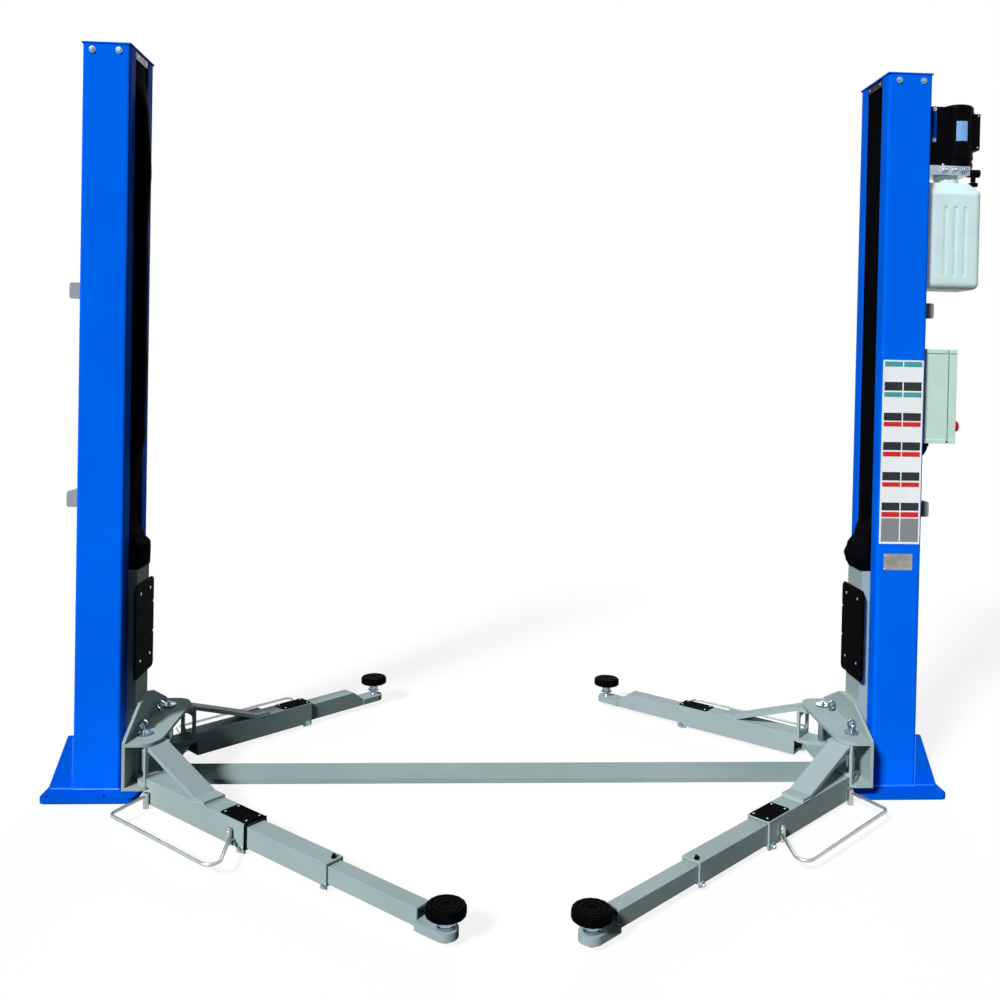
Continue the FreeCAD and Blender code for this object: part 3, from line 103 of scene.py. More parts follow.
# %% [markdown]
# ## Finishes
# A colour is written as sRGB, as a paint chart gives it. Blender mixes light in linear values,
# so one function turns the one into the other. A second small function adds a node, puts plain
# values on its sockets and links whatever is itself a socket.

# %% Colours and nodes
def linear(hex_colour):
    """sRGB hex value as linear red, green, blue and alpha."""
    parts = [int(hex_colour[i:i + 2], 16) / 255 for i in (0, 2, 4)]
    return [c / 12.92 if c <= 0.04045 else ((c + 0.055) / 1.055) ** 2.4 for c in parts] + [1.0]


def add_node(tree, kind, inputs=None, **settings):
    """Add a node with its settings; an input is a plain value or the socket that feeds it."""
    made = tree.nodes.new("ShaderNode" + kind)
    for name, value in settings.items():
        setattr(made, name, value)
    for name, value in (inputs or {}).items():
        if isinstance(value, bpy.types.NodeSocket):
            tree.links.new(value, made.inputs[name])
        else:
            made.inputs[name].default_value = value
    return made


def new_finish(name, **values):
    """Material whose shader has the given values on its own sockets."""
    finish = bpy.data.materials.new(name)
    finish.use_nodes = True
    tree = finish.node_tree
    shader = tree.nodes["Principled BSDF"]
    for socket, value in values.items():
        shader.inputs[socket.replace("_", " ")].default_value = value
    place = add_node(tree, "TexCoord").outputs["Object"]
    return finish, tree, shader, place


def per_mm(size):
    """Scale of a pattern whose grains are this many millimetres apart."""
    return 1000.0 / size


def noise(tree, place, size, detail=3.0):
    """Cloudy pattern whose grains are this many millimetres apart."""
    made = add_node(tree, "TexNoise", {"Vector": place, "Scale": per_mm(size), "Detail": detail})
    return made.outputs["Fac"]


def two_tones(tree, shader, pattern, first, second, low=0.3, high=0.7):
    """Base colour that drifts from one tone to another between two values of a pattern."""
    film = add_node(tree, "ValToRGB", {"Fac": pattern})
    for stop, position, tone in zip(film.color_ramp.elements, (low, high), (first, second)):
        stop.position = position
        stop.color = linear(tone)
    tree.links.new(film.outputs["Color"], shader.inputs["Base Color"])


def vary_roughness(tree, shader, pattern, smoothest, roughest):
    """Roughness that follows a pattern."""
    spread = add_node(tree, "MapRange", {"Value": pattern, "To Min": smoothest, "To Max": roughest})
    tree.links.new(spread.outputs["Result"], shader.inputs["Roughness"])


def relief(tree, shader, pattern, strength, depth, edge=0.0, samples=4):
    """Bump from a pattern, with depth and edge radius in metres; an edge radius rounds all edges."""
    inputs = {"Height": pattern, "Strength": strength, "Distance": depth}
    if edge:
        inputs["Normal"] = add_node(tree, "Bevel", {"Radius": edge}, samples=samples).outputs["Normal"]
    bump = add_node(tree, "Bump", inputs)
    tree.links.new(bump.outputs["Normal"], shader.inputs["Normal"])


print("blue", [round(c, 3) for c in linear("0560E6")])

# %% [markdown]
# ### Powder coated steel
# The posts and base plates are folded steel sheet with an epoxy powder coat, baked on. It flows
# out to a gloss film with a faint orange peel; the base plates have a slightly darker, rougher
# blue than the posts. The arms and carriages have the same kind of coat in light grey, more
# satin. The peel of the real coat is about 1.5 mm wide and is drawn at 5 mm, so that it shows.

# %% Powder coats
COAT_CLOUDS, COAT_DUST, COAT_EDGE = 420, 35, 0.0025


def powder_coat(name, colour, shade, roughness, gloss, peel=5.0):
    """Baked powder coat: cloudy colour, orange peel and edges rounded by the film."""
    finish, tree, shader, place = new_finish(name, Roughness=roughness, IOR=1.5, Specular_IOR_Level=gloss)
    two_tones(tree, shader, noise(tree, place, COAT_CLOUDS), shade, colour)
    vary_roughness(tree, shader, noise(tree, place, COAT_DUST, 6.0), roughness - 0.06, roughness + 0.1)
    relief(tree, shader, noise(tree, place, peel, 2.0), 0.05, 0.001, COAT_EDGE)
    return finish


post_blue = powder_coat("blue powder coat", "0069F6", "0062EA", 0.42, 0.001)
base_blue = powder_coat("blue powder coat near the floor", "005FDE", "0055CC", 0.46, 0.001)
light_grey = powder_coat("light grey powder coat", "9FB1B2", "95A7A8", 0.46, 0.002)
# The coat over the welds is the posts' coat drawn a lighter blue as a painted highlight on the beads, and
# glossier.
weld_highlight_blue = powder_coat("blue powder coat over a weld with painted highlight", "1F7BFF", "0A6AF8", 0.2, 0.5, 9.0)
cover_grey = powder_coat("floor cover powder coat", "96AAAB", "8B9FA0", 0.46, 0.008)
cover_shade = powder_coat("lock cover powder coat", "9CA4A5", "91999A", 0.46, 0.01)
print("powder coats:", post_blue.name, light_grey.name, cover_grey.name)

# %% [markdown]
# ### Plated and cast metal
# The pins, pad screws and bolts are zinc plated: bright, a little blue, with a soft bloom from
# the passivation. A metal keeps the default IOR and takes its look from its colour and from how
# rough it is. The pump block is cast aluminium with machined faces, and the lift's rods are
# ground and hard chromed.

# %% Metals
METAL_BLOOM = 45


def plated(name, colour, shade, roughness, grain, strength):
    """Bare or plated metal with a cloudy bloom and a fine surface grain."""
    finish, tree, shader, place = new_finish(name, Metallic=1.0, Roughness=roughness)
    bloom = noise(tree, place, METAL_BLOOM)
    two_tones(tree, shader, bloom, shade, colour, 0.35, 0.65)
    vary_roughness(tree, shader, bloom, roughness - 0.05, roughness + 0.08)
    relief(tree, shader, noise(tree, place, grain), strength, 0.0005)
    return finish


zinc = plated("zinc plate", "A3B4BF", "8698A6", 0.25, 2.0, 0.08)
zinc_rod = plated("drawn bar with zinc plate", "BCC2BF", "ADB4B1", 0.4, 3.0, 0.2)
cast_aluminium = plated("cast aluminium", "C3CBD6", "9DA8B8", 0.32, 2.5, 0.3)
hard_chrome = plated("hard chrome", "DADCDF", "CDD0D4", 0.12, 4.0, 0.03)
name_plate = plated("brushed stainless sheet", "A5A39C", "8E8C86", 0.4, 1.2, 0.3)
print("metals:", zinc.name, cast_aluminium.name, hard_chrome.name, name_plate.name)

# %% [markdown]
# ### Rubber and coated cloth
# The pads, step mats and door guards are moulded nitrile rubber, matt, with a fine grain and a
# grey bloom. The curtains that close the slots are woven polyester with a PVC coat: the weave
# still shows through as a fine grid. The real yarns are about 1 mm apart, and are drawn at 4 mm.

# %% Rubber and cloth
RUBBER_BLOOM, RUBBER_GRAIN = 30, 3
black_rubber, tree, shader, place = new_finish("moulded nitrile rubber", Roughness=0.78, IOR=1.52,
                                               Specular_IOR_Level=0.008)
two_tones(tree, shader, noise(tree, place, RUBBER_BLOOM, 5.0), "030405", "0A0B0D", 0.45, 0.8)
pores = add_node(tree, "TexVoronoi", {"Vector": place, "Scale": per_mm(RUBBER_GRAIN)})
relief(tree, shader, pores.outputs["Distance"], 0.35, 0.0006)

CLOTH_FADE, YARN, WAVE_LENGTH = 260, 4, 6.28
curtain_cloth, tree, shader, place = new_finish("coated woven polyester", Roughness=0.6, IOR=1.5,
                                                Specular_IOR_Level=0.0005)
two_tones(tree, shader, noise(tree, place, CLOTH_FADE, 4.0), "040506", "0B0C0F", 0, 1)
yarns = {"Vector": place, "Scale": per_mm(YARN) / WAVE_LENGTH, "Distortion": 0.4}
warp, weft = [add_node(tree, "TexWave", yarns, bands_direction=way).outputs["Fac"] for way in "YZ"]
weave = add_node(tree, "Math", {0: warp, 1: weft}, operation="MULTIPLY")
relief(tree, shader, weave.outputs["Value"], 0.25, 0.0004)
print("soft finishes:", black_rubber.name, curtain_cloth.name)

# %% [markdown]
# ### Moulded plastic and the rest
# The oil tank is blow moulded polyethylene, milky and a little see-through, so light spreads
# inside its wall; a faint painted glow on top of that lightens the tank where it lies in shade.
# The control box is moulded ABS in a pale grey-green, and the motor has a black enamel. The
# blank panels are printed vinyl.

# %% Plastics
PLASTIC_DRIFT = 120


def moulded_plastic(name, colour, shade, roughness, grain=2.0, strength=0.1, edge=1.0, **extra):
    """Moulded plastic or enamel with slight tone changes, a fine texture and round edges in mm."""
    extra.setdefault("Specular_IOR_Level", 0.08)
    finish, tree, shader, place = new_finish(name, Roughness=roughness, IOR=1.5, **extra)
    two_tones(tree, shader, noise(tree, place, PLASTIC_DRIFT), shade, colour)
    relief(tree, shader, noise(tree, place, grain, 2.0), strength, 0.0005, edge * 0.001, samples=6)
    return finish


# The tank's emission is a painted glow that lightens it where it lies in shade.
tank_plastic = moulded_plastic("milky polyethylene", "C6DDDF", "BCD4D7", 0.4, 14.0, 0.08, edge=14.0,
                               Subsurface_Weight=0.6, Subsurface_Scale=0.05,
                               Emission_Color=linear("DCF0EC"), Emission_Strength=0.12)
box_plastic = moulded_plastic("grey-green ABS", "C3E0D6", "BAD8CD", 0.4, edge=3.0)
motor_enamel = moulded_plastic("black enamel", "06070A", "030406", 0.3, 6.0, 0.08,
                               Specular_IOR_Level=0.02)
black_plastic = moulded_plastic("black ABS", "090A0C", "050607", 0.45, Specular_IOR_Level=0.02)
nylon = moulded_plastic("cast nylon", "DAD9D2", "CFCEC6", 0.5)
red_plastic = moulded_plastic("red ABS", "F01420", "E0121D", 0.3)
VINYLS = {
    "white": ("EFF3F6", "E8EDF0"), "teal": ("46A3A8", "3F999E"), "red": ("D8303A", "CE2A34"),
    "dark grey": ("36393D", "2C2F33"), "grey": ("8E9397", "82878B"), "pale blue": ("7FAEE6", "78A6DE"),
}
vinyl = {tone: moulded_plastic(f"{tone} vinyl", *colours, 0.4) for tone, colours in VINYLS.items()}
FINISHES = {
    "post_blue": post_blue, "base_blue": base_blue, "grey_paint": light_grey, "cover_steel": cover_grey,
    "zinc": zinc, "chrome_rod": hard_chrome, "cylinder_paint": motor_enamel,
    "black_rubber": black_rubber, "slide_plastic": nylon, "curtain_fabric": curtain_cloth,
    "motor_black": motor_enamel, "black_plastic": black_plastic, "pump_aluminium": cast_aluminium,
    "tank_plastic": tank_plastic, "box_plastic": box_plastic, "red_plastic": red_plastic,
}
FIRST_SLOT = {finish.name: slot for slot, finish in reversed(FINISHES.items())}
print(len(FINISHES), "finishes for the CAD parts")

# %% [markdown]
# ## The CAD parts
# Each CAD part names its material slot in the record, so the finishes go on in one loop. The
# meshes themselves stay as they are. Smooth shading is only a matter of normals and comes ready
# made with them.

# %% Dress the CAD parts
slot_of = {row["node"]: row["material_slot"] for row in frame["record"]["subparts"]}
for node_name, part in frame["nodes"].items():
    part.data.materials.clear()
    finish = FINISHES[slot_of[node_name]]
    if node_name.endswith("foot_guard"):
        finish = zinc_rod
    if node_name == "lock_covers":
        finish = cover_shade
    part.data.materials.append(finish)
print(len(slot_of), "CAD parts dressed")

# %% [markdown]
# ## Shapes for small parts
# Bolts, pads and rings are round, plates are flat outlines with a thickness, and rods and weld
# beads follow a path. One function draws each kind in millimetres, one gathers parts into a
# larger shape, and one makes a finished piece of it.

# %% Round, flat and swept shapes
MM = 0.001
TURN = 2 * math.pi


def on_circle(radius, angle, height=0.0):
    """Point on a circle round +Z."""
    return (radius * math.cos(angle), radius * math.sin(angle), height)


def skin(shape, rings, caps=True, around=True):
    """Faces between rows of vertices, which may be rings, and a face on each end."""
    for low, high in zip(rings, rings[1:]):
        for i in range(len(low) if around else len(low) - 1):
            j = (i + 1) % len(low)
            shape.faces.new((low[i], low[j], high[j], high[i]))
    if caps:
        shape.faces.new(rings[0][::-1])
        shape.faces.new(rings[-1])


def lathe(profile, steps=32, wobble=None):
    """Turn radius and height pairs round +Z; wobble(angle) scales the radius."""
    shape = bmesh.new()
    rings = []
    for radius, height in profile:
        ring = []
        for step in range(steps if radius else 1):
            angle = TURN * step / steps
            reach = radius * (wobble(angle) if wobble else 1.0)
            ring.append(shape.verts.new(on_circle(reach, angle, height)))
        rings.append(ring)
    for low, high in zip(rings, rings[1:]):
        for step in range(steps):
            after = (step + 1) % steps
            corners = [low[step % len(low)], low[after % len(low)]]
            corners += [high[after % len(high)], high[step % len(high)]]
            corners = list(dict.fromkeys(corners))
            if len(corners) > 2:
                shape.faces.new(corners)
    return shape


def slab(outline, low, high):
    """Flat outline in X and Y, as thick as low to high."""
    shape = bmesh.new()
    skin(shape, [[shape.verts.new((x, y, z)) for x, y in outline] for z in (low, high)])
    return shape


def box_outline(x_low, x_high, y_low, y_high):
    """Corners of a rectangle."""
    return [(x_low, y_low), (x_high, y_low), (x_high, y_high), (x_low, y_high)]


def round_corners(outline, radius, steps=5):
    """The outline with an arc of short edges in place of each corner."""
    result = []
    for i, corner in enumerate(outline):
        here = Vector(corner)
        before = Vector(outline[i - 1]) - here
        after = Vector(outline[(i + 1) % len(outline)]) - here
        opening = before.angle(after)
        back = min(radius / math.tan(opening / 2), before.length / 2, after.length / 2)
        start, end = here + before.normalized() * back, here + after.normalized() * back
        for step in range(steps + 1):
            t = step / steps
            result.append(tuple(start * (1 - t) ** 2 + here * 2 * t * (1 - t) + end * t ** 2))
    return result


def plate(edges, low, high, corner=0.0):
    """Rectangular slab; its edges are the low and high X and the low and high Y."""
    outline = box_outline(*edges)
    return slab(round_corners(outline, corner) if corner else outline, low, high)


def sweep(path, radius, sides=10, closed=False):
    """Bar along a path of points; radius may be a function of the number of the point."""
    points = [Vector(point) for point in path]
    count = len(points)
    shape = bmesh.new()
    rings = []
    side = None
    for i, point in enumerate(points):
        ahead = points[(i + 1) % count] if closed or i + 1 < count else point
        behind = points[i - 1] if closed or i else point
        along = (ahead - behind).normalized()
        side = along.orthogonal() if side is None else side - along * side.dot(along)
        side.normalize()
        other = along.cross(side)
        size = radius(i) if callable(radius) else radius
        spokes = [on_circle(1, TURN * k / sides) for k in range(sides)]
        rings.append([shape.verts.new(point + (side * x + other * y) * size) for x, y, _ in spokes])
    skin(shape, rings + rings[:1] if closed else rings, caps=not closed)
    return shape


def standing(place, axis=(0, 0, 1), side=(1, 0, 0)):
    """Matrix that puts a shape's foot at a place with its +Z along an axis."""
    z = Vector(axis).normalized()
    x = Vector(side) - z * z.dot(Vector(side))
    x = z.orthogonal().normalized() if x.length < 0.001 else x.normalized()
    return Matrix.Translation(Vector(place)) @ Matrix((x, z.cross(x), z)).transposed().to_4x4()


def gather(parts):
    """One shape out of shapes, or pairs of a shape and the matrix that places it."""
    whole = bmesh.new()
    for part in parts:
        shape, matrix = part if isinstance(part, tuple) else (part, Matrix())
        carrier = bpy.data.meshes.new("carrier")
        shape.to_mesh(carrier)
        carrier.transform(matrix)
        whole.from_mesh(carrier)
        bpy.data.meshes.remove(carrier)
    return whole


def copies(shape, spots, axis=(0, 0, 1)):
    """The same shape at several places, standing along one axis."""
    return [(shape, standing(spot, axis)) for spot in spots]


def make_piece(name, shape, finish, body="frame", slot=None, bevel=0.0, matrix=None, smooth=35):
    """Make a finished piece, in metres, that rides on a body."""
    slot = slot or FIRST_SLOT[finish.name]
    if isinstance(shape, list):
        shape = gather(shape)
    bmesh.ops.recalc_face_normals(shape, faces=shape.faces)
    mesh = bpy.data.meshes.new(name)
    shape.to_mesh(mesh)
    shape.free()
    if matrix is not None:
        mesh.transform(matrix)
    mesh.transform(Matrix.Scale(MM, 4))
    mesh.polygons.foreach_set("use_smooth", [True] * len(mesh.polygons))
    mesh.set_sharp_from_angle(angle=math.radians(smooth))
    mesh.materials.append(finish)
    piece = bpy.data.objects.new(name, mesh)
    bpy.context.scene.collection.objects.link(piece)
    if bevel:
        softened = piece.modifiers.new("bevel", "BEVEL")
        softened.width = bevel * MM
        softened.segments = 2
        softened.limit_method = "ANGLE"
        softened.angle_limit = math.radians(40)
    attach(piece, body)
    return piece


print("shape functions ready")

# %% [markdown]
# ## Fasteners
# A hex head bolt has a chamfered six sided head on a washer. A rivet is a shallow dome. Every
# bolt on the lift is one of these in another size.

# %% Bolts and rivets
WASHER = 2.5


def hex_bolt(across_flats, height, washer=True, socket=False):
    """Hex head, chamfered on top, on its washer; a socket screw has a round head with a recess."""
    reach = across_flats / math.sqrt(3)
    foot = WASHER if washer else 0.0
    top = foot + height
    parts = []
    if washer:
        rim = reach * 1.45
        parts.append(lathe([(0, 0), (reach * 1.35, 0), (rim, 0.6), (rim, 2), (reach * 1.3, foot),
                            (0, foot)], 28))
    if socket:
        recess = foot + height * 0.5
        parts.append(lathe([(0, foot), (reach * 0.95, foot), (reach, foot + 1), (reach, top - 1.5),
                            (reach * 0.88, top), (reach * 0.5, top), (reach * 0.5, recess), (0, recess)], 24))
    else:
        shoulder = foot + height * 0.78
        parts.append(lathe([(0, foot), (reach, foot), (reach, shoulder), (reach * 0.88, top), (0, top)], 6))
    return gather(parts)


def rivet(radius, height):
    """Low dome with a small rim."""
    return lathe([(0, 0), (radius, 0), (radius, height * 0.25), (radius * 0.8, height * 0.7),
                  (radius * 0.45, height * 0.95), (0, height)], 20)


SIDES = {"left": -1, "right": 1}
BOLT_X, BOLT_Z, POST_FACE_Y = (1492, 1589), 2794, 140
for side, sign in SIDES.items():
    heads = []
    for facing in (-1, 1):
        spots = [(sign * x, facing * POST_FACE_Y, BOLT_Z) for x in BOLT_X]
        heads += copies(hex_bolt(15, 7), spots, (0, facing, 0))
    make_piece(f"{side}_post_top_bolts", heads, zinc, bevel=0.5)
print("top bolts on both posts")

# %% [markdown]
# ## Weld beads
# Each post and its gussets are welded to the base plate, and the coat runs over the bead. A bead
# is a row of overlapping ripples, so the swept bar swells and shrinks along its way, one ripple
# for every 7 mm.

# %% Weld beads
RIPPLE, POINTS_PER_RIPPLE = 7.0, 4


def bead(corners, radius):
    """Weld bead along straight runs between corners."""
    path = []
    for start, end in zip(corners, corners[1:]):
        start, end = Vector(start), Vector(end)
        count = max(2, int((end - start).length / (RIPPLE / POINTS_PER_RIPPLE)))
        path += [start.lerp(end, step / count) for step in range(count)]
    path.append(Vector(corners[-1]))
    return sweep(path, lambda i: radius * (0.86 + 0.14 * abs(math.sin(math.pi * i / POINTS_PER_RIPPLE))), 8)


POST_INNER, POST_OUTER, BASE_TOP = 1450, 1626, 20
GUSSET_Y, GUSSET_SHEET, GUSSET_FOOT, GUSSET_TOP = 134, 12, 1708, 216
POST_BEAD, GUSSET_BEAD = 5.5, 3.5
POST_RUNS = [[(POST_OUTER, facing * POST_FACE_Y), (POST_INNER, facing * POST_FACE_Y)] for facing in (-1, 1)]
POST_RUNS.append([(POST_OUTER, -POST_FACE_Y), (POST_OUTER, POST_FACE_Y)])
GUSSET_RUN = [(GUSSET_FOOT, BASE_TOP), (POST_OUTER, BASE_TOP), (POST_OUTER, GUSSET_TOP)]
for side, sign in SIDES.items():
    beads = [bead([(sign * x, y, BASE_TOP) for x, y in run], POST_BEAD) for run in POST_RUNS]
    for facing in (-1, 1):
        for face in (GUSSET_Y, GUSSET_Y - GUSSET_SHEET):
            beads.append(bead([(sign * x, facing * face, z) for x, z in GUSSET_RUN], GUSSET_BEAD))
    # The beads take the lighter blue coat, a painted highlight.
    make_piece(f"{side}_base_welds", beads, weld_highlight_blue, slot="base_blue", smooth=60)
print("weld beads at both bases")

# %% [markdown]
# ## Dust curtains
# A strip of coated cloth closes each slot. It hangs from a bar at the top of the post, falls over
# the carriage's upper end and is folded back along its sides. The right cloth bellies out towards
# the car just above the carriage, the left one higher up, where its edges stay between the lips.
# The cloth is a grid whose rows follow that course, given a thickness by a modifier. When the
# carriage climbs, the real cloth folds up under the bar.

# %% Curtains
CURTAIN_X, CURTAIN_HALF, CURTAIN_HIGH = 1460, 71, 2816
CURTAIN_LOW = {"left": 838, "right": 857}
CLOTH_THICKNESS = 1.6
CROWN, WRINKLES, CALM_ABOVE_HEM = 2.2, ((0.8, 61, 1.7), (0.5, 23, -2)), 40
LOOSE_BELOW, EDGE_OUT = 1110, 9
WRAP_FULL, WRAP_NONE = 925, 1060
WRAP_BACK_X, WRAP_Y, WRAP_T = 1452, 74, 0.8
CURTAIN_ROWS, CURTAIN_COLUMNS, ROWS_TO_HEM = 260, 14, 1.25
EDGE_TO_EDGE = [column / CURTAIN_COLUMNS * 2 - 1 for column in range(CURTAIN_COLUMNS + 1)]
SLACK = {
    "left": [(838, 47), (905, 48), (922, 47), (955, 22), (1000, 4), (1060, 0), (1180, 5), (1360, 36),
             (1650, 38), (2120, 36), (2380, 44), (2580, 34), (2740, 5), (2830, 0)],
    "right": [(857, 46), (880, 57), (907, 64), (942, 52), (992, 24), (1052, 5), (1250, 0), (2000, 1),
              (2400, 3), (2830, 0)],
}


def between(table, z):
    """Value at a height, eased between the rows of a table."""
    for (low, first), (high, second) in zip(table, table[1:]):
        if z <= high:
            t = (z - low) / (high - low)
            t = t * t * (3 - 2 * t)
            return first + (second - first) * t
    return table[-1][1]


def cloth_point(side, z, t):
    """Place of the cloth at a height, for t from -1 at one edge to 1 at the other."""
    out = between(SLACK[side], z)
    edge_out = out if z < LOOSE_BELOW else min(out, EDGE_OUT)
    crown = CROWN * math.cos(t * math.pi / 2)
    crown += sum(size * math.sin(z / length + lean * t) for size, length, lean in WRINKLES)
    crown *= min(1, (z - CURTAIN_LOW[side]) / CALM_ABOVE_HEM)
    x = CURTAIN_X - edge_out - (out - edge_out) * (1 - t * t) - crown
    y = t * CURTAIN_HALF
    folded_x, folded_y = x, t / WRAP_T * WRAP_Y
    if abs(t) > WRAP_T:
        folded_x = WRAP_BACK_X if abs(t) == 1 else CURTAIN_X - out + 2
        folded_y = math.copysign(WRAP_Y, t)
    wrap = between([(WRAP_FULL, 1), (WRAP_NONE, 0)], max(z, WRAP_FULL))
    return (SIDES[side] * (x + (folded_x - x) * wrap), y + (folded_y - y) * wrap, z)


def way(points):
    """Length of the way through some vertices, in metres."""
    return sum((b.co - a.co).length for a, b in zip(points, points[1:])) * MM


for side, sign in SIDES.items():
    cloth = bmesh.new()
    grid = []
    for row in range(CURTAIN_ROWS + 1):
        z = CURTAIN_LOW[side] + (CURTAIN_HIGH - CURTAIN_LOW[side]) * (row / CURTAIN_ROWS) ** ROWS_TO_HEM
        grid.append([cloth.verts.new(cloth_point(side, z, t)) for t in EDGE_TO_EDGE])
    skin(cloth, grid, caps=False, around=False)
    curtain = make_piece(f"{side}_curtain", cloth, curtain_cloth, smooth=80)
    body_of_cloth = curtain.modifiers.new("thickness", "SOLIDIFY")
    body_of_cloth.thickness = CLOTH_THICKNESS * MM
    body_of_cloth.offset = 0
    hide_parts(f"{side}_dust_curtain")
    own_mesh(curtain)

# %% [markdown]
# The bar that clamps the cloth is a strip of dark steel between the lips, with two rivets.

# %% Curtain bars
CLAMP_X, CLAMP_HALF, CLAMP_LOW, CLAMP_HIGH, CLAMP_SHEET, CLAMP_RIVET_Y = 1452, 74, 2786, 2816, 3.5, 52
for side, sign in SIDES.items():
    bar = plate((-CLAMP_HALF, CLAMP_HALF, CLAMP_LOW, CLAMP_HIGH), 0, CLAMP_SHEET, 3)
    make_piece(f"{side}_curtain_bar", bar, motor_enamel, bevel=0.6,
               matrix=standing((sign * CLAMP_X, 0, 0), (sign, 0, 0), (0, sign, 0)))
    spots = [(sign * CLAMP_X, y, (CLAMP_LOW + CLAMP_HIGH) / 2) for y in (-CLAMP_RIVET_Y, CLAMP_RIVET_Y)]
    make_piece(f"{side}_curtain_rivets", copies(rivet(5, 2.5), spots, (-sign, 0, 0)), zinc)
print("bars over both curtains")

# %% [markdown]
# ## Door guards
# A rubber plate on each carriage keeps a car door off the steel. It is moulded with bevelled
# edges and two shallow grooves, and four bolts hold it. The plate is its own profile drawn from
# the side, pulled across and cut at the corners.

# %% Door guards
GUARD_FACE, GUARD_BACK, GUARD_HALF, GUARD_LOW, GUARD_HIGH = 1408, 1418, 108, 417, 779
GUARD_GROOVES, GROOVE_HALF, GROOVE_DEPTH, GUARD_CUT = (558, 678), 5, 3, 14
GUARD_BOLTS = [(y, z) for y in (-58, 58) for z in (480, 740)]


def guard_plate(sign):
    """Rubber plate with grooves, drawn in height and depth and pulled from front to back."""
    sunk = GUARD_FACE + GROOVE_DEPTH
    profile = [(GUARD_LOW, GUARD_BACK), (GUARD_LOW, sunk), (GUARD_LOW + 3, GUARD_FACE)]
    for middle in GUARD_GROOVES:
        profile += [(middle - GROOVE_HALF, GUARD_FACE), (middle - GROOVE_HALF / 2, sunk),
                    (middle + GROOVE_HALF / 2, sunk), (middle + GROOVE_HALF, GUARD_FACE)]
    profile += [(GUARD_HIGH - 3, GUARD_FACE), (GUARD_HIGH, sunk), (GUARD_HIGH, GUARD_BACK)]
    shape = slab(profile, -GUARD_HALF, GUARD_HALF)
    shape.transform(standing((0, 0, 0), (0, sign, 0), (0, 0, 1)))
    for y in (-1, 1):
        for z, edge in ((-1, GUARD_LOW), (1, GUARD_HIGH)):
            corner = Vector((0, y * (GUARD_HALF - GUARD_CUT / 2), edge - z * GUARD_CUT / 2))
            parts = shape.verts[:] + shape.edges[:] + shape.faces[:]
            bmesh.ops.bisect_plane(shape, geom=parts, plane_co=corner, plane_no=(0, y, z), clear_outer=True)
            rim = [e for e in shape.edges if e.is_boundary]
            bmesh.ops.contextual_create(shape, geom=rim)
    return shape


for side, sign in SIDES.items():
    guard = make_piece(f"{side}_guard_rubber", guard_plate(sign), black_rubber, f"{side}_carriage_set",
                       bevel=1.2)
    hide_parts(f"{side}_door_guard")
    spots = [(sign * GUARD_FACE, y, z) for y, z in GUARD_BOLTS]
    heads = copies(rivet(5.5, 3), spots, (-sign, 0, 0))
    make_piece(f"{side}_guard_bolts", heads, zinc, f"{side}_carriage_set")
print("door guards on both carriages")

# %% [markdown]
# ## Pivot and lock pins
# An arm turns on a zinc plated pin with a wide head, and a socket screw keeps the pin from
# turning. Beside it a lock pin carries a toothed block that grips the arm's teeth; its ring is
# pulled up to free the arm. The screws, washers and second rings are drawn here.

# %% Screws, washers and second rings on the pins
PIVOT_X, PIVOT_Y, PIN_HEAD_TOP = 1356, 160, 243
LOCK_X, LOCK_Y, SHELF_TOP, LOCK_TOP = 1376, 110, 235, 243
WASHER_IN, WASHER_OUT, WASHER_TOP = 7.2, 15, SHELF_TOP + 2
RING_RADIUS, RING_WIRE, RING_STEPS = 11, 2.4, 28
RING_IN, RING_ALONG, RING_UP = 4, 17, 8
ring_path = [on_circle(RING_RADIUS, TURN * i / RING_STEPS) for i in range(RING_STEPS)]
for side, sign in SIDES.items():
    extras = []
    for facing in (-1, 1):
        pivot = (sign * PIVOT_X, facing * PIVOT_Y, PIN_HEAD_TOP)
        lock = Vector((sign * LOCK_X, facing * LOCK_Y, 0))
        washer = lathe([(WASHER_IN, SHELF_TOP), (WASHER_OUT, SHELF_TOP), (WASHER_OUT, WASHER_TOP),
                        (WASHER_IN, WASHER_TOP)], 24)
        beside = lock + Vector((-sign * RING_IN, facing * RING_ALONG, LOCK_TOP + RING_UP))
        extras.append((hex_bolt(11, 9, socket=True), standing(pivot)))
        extras.append((washer, Matrix.Translation(lock)))
        extras.append((sweep(ring_path, RING_WIRE, 8, closed=True), standing(beside, (1, 0, 0.5))))
    make_piece(f"{side}_pin_fittings", extras, zinc, f"{side}_carriage_set")
print("fittings on the arm pins")

# %% [markdown]
# ## Arms
# Everything on an arm is drawn along the arm: s runs from the pivot to the pad, n across it to
# the left, z up. One matrix for each arm then turns it into place, so the four arms share the
# same functions.

# %% Arm places
ARMS = {
    "front_left": (-1, -1, -40.9, 1526),
    "front_right": (1, -1, 221.9, 1538),
    "rear_left": (-1, 1, 43.6, 1053),
    "rear_right": (1, 1, 139.2, 1083),
}
OUTER_END, OUTER_HALF, OUTER_LOW, OUTER_TOP = 665, 44, 16, 104
MIDDLE_END, MIDDLE_HALF, MIDDLE_LOW, MIDDLE_TOP = 1060, 35, 23.3, 93.3
ROOT_END, ROOT_BEAD, ROOT_BEAD_LOW = 92, 3.5, 76
STRAP_END, STRAP_BEAD, STRAP_BEAD_HALF, STRAP_BEAD_LENGTH = 440, 4, 42, 48


def along_arm(arm):
    """Matrix from arm millimetres to the frame's millimetres."""
    across, facing, heading, _ = ARMS[arm]
    return (Matrix.Translation((across * PIVOT_X, facing * PIVOT_Y, 0))
            @ Matrix.Rotation(math.radians(heading), 4, "Z"))


def arm_piece(arm, name, shape, finish, stage="outer", **more):
    """Make a piece drawn in arm millimetres that rides on a stage of the arm."""
    return make_piece(f"{arm}_{name}", shape, finish, f"{arm}_{stage}_arm", matrix=along_arm(arm), **more)


# %% [markdown]
# ### Weld beads on the arms
# The root plate is welded round the outer tube, and the strap from the upper ear is welded down
# on top of it. A bead at the strap's end catches the light in the picture.

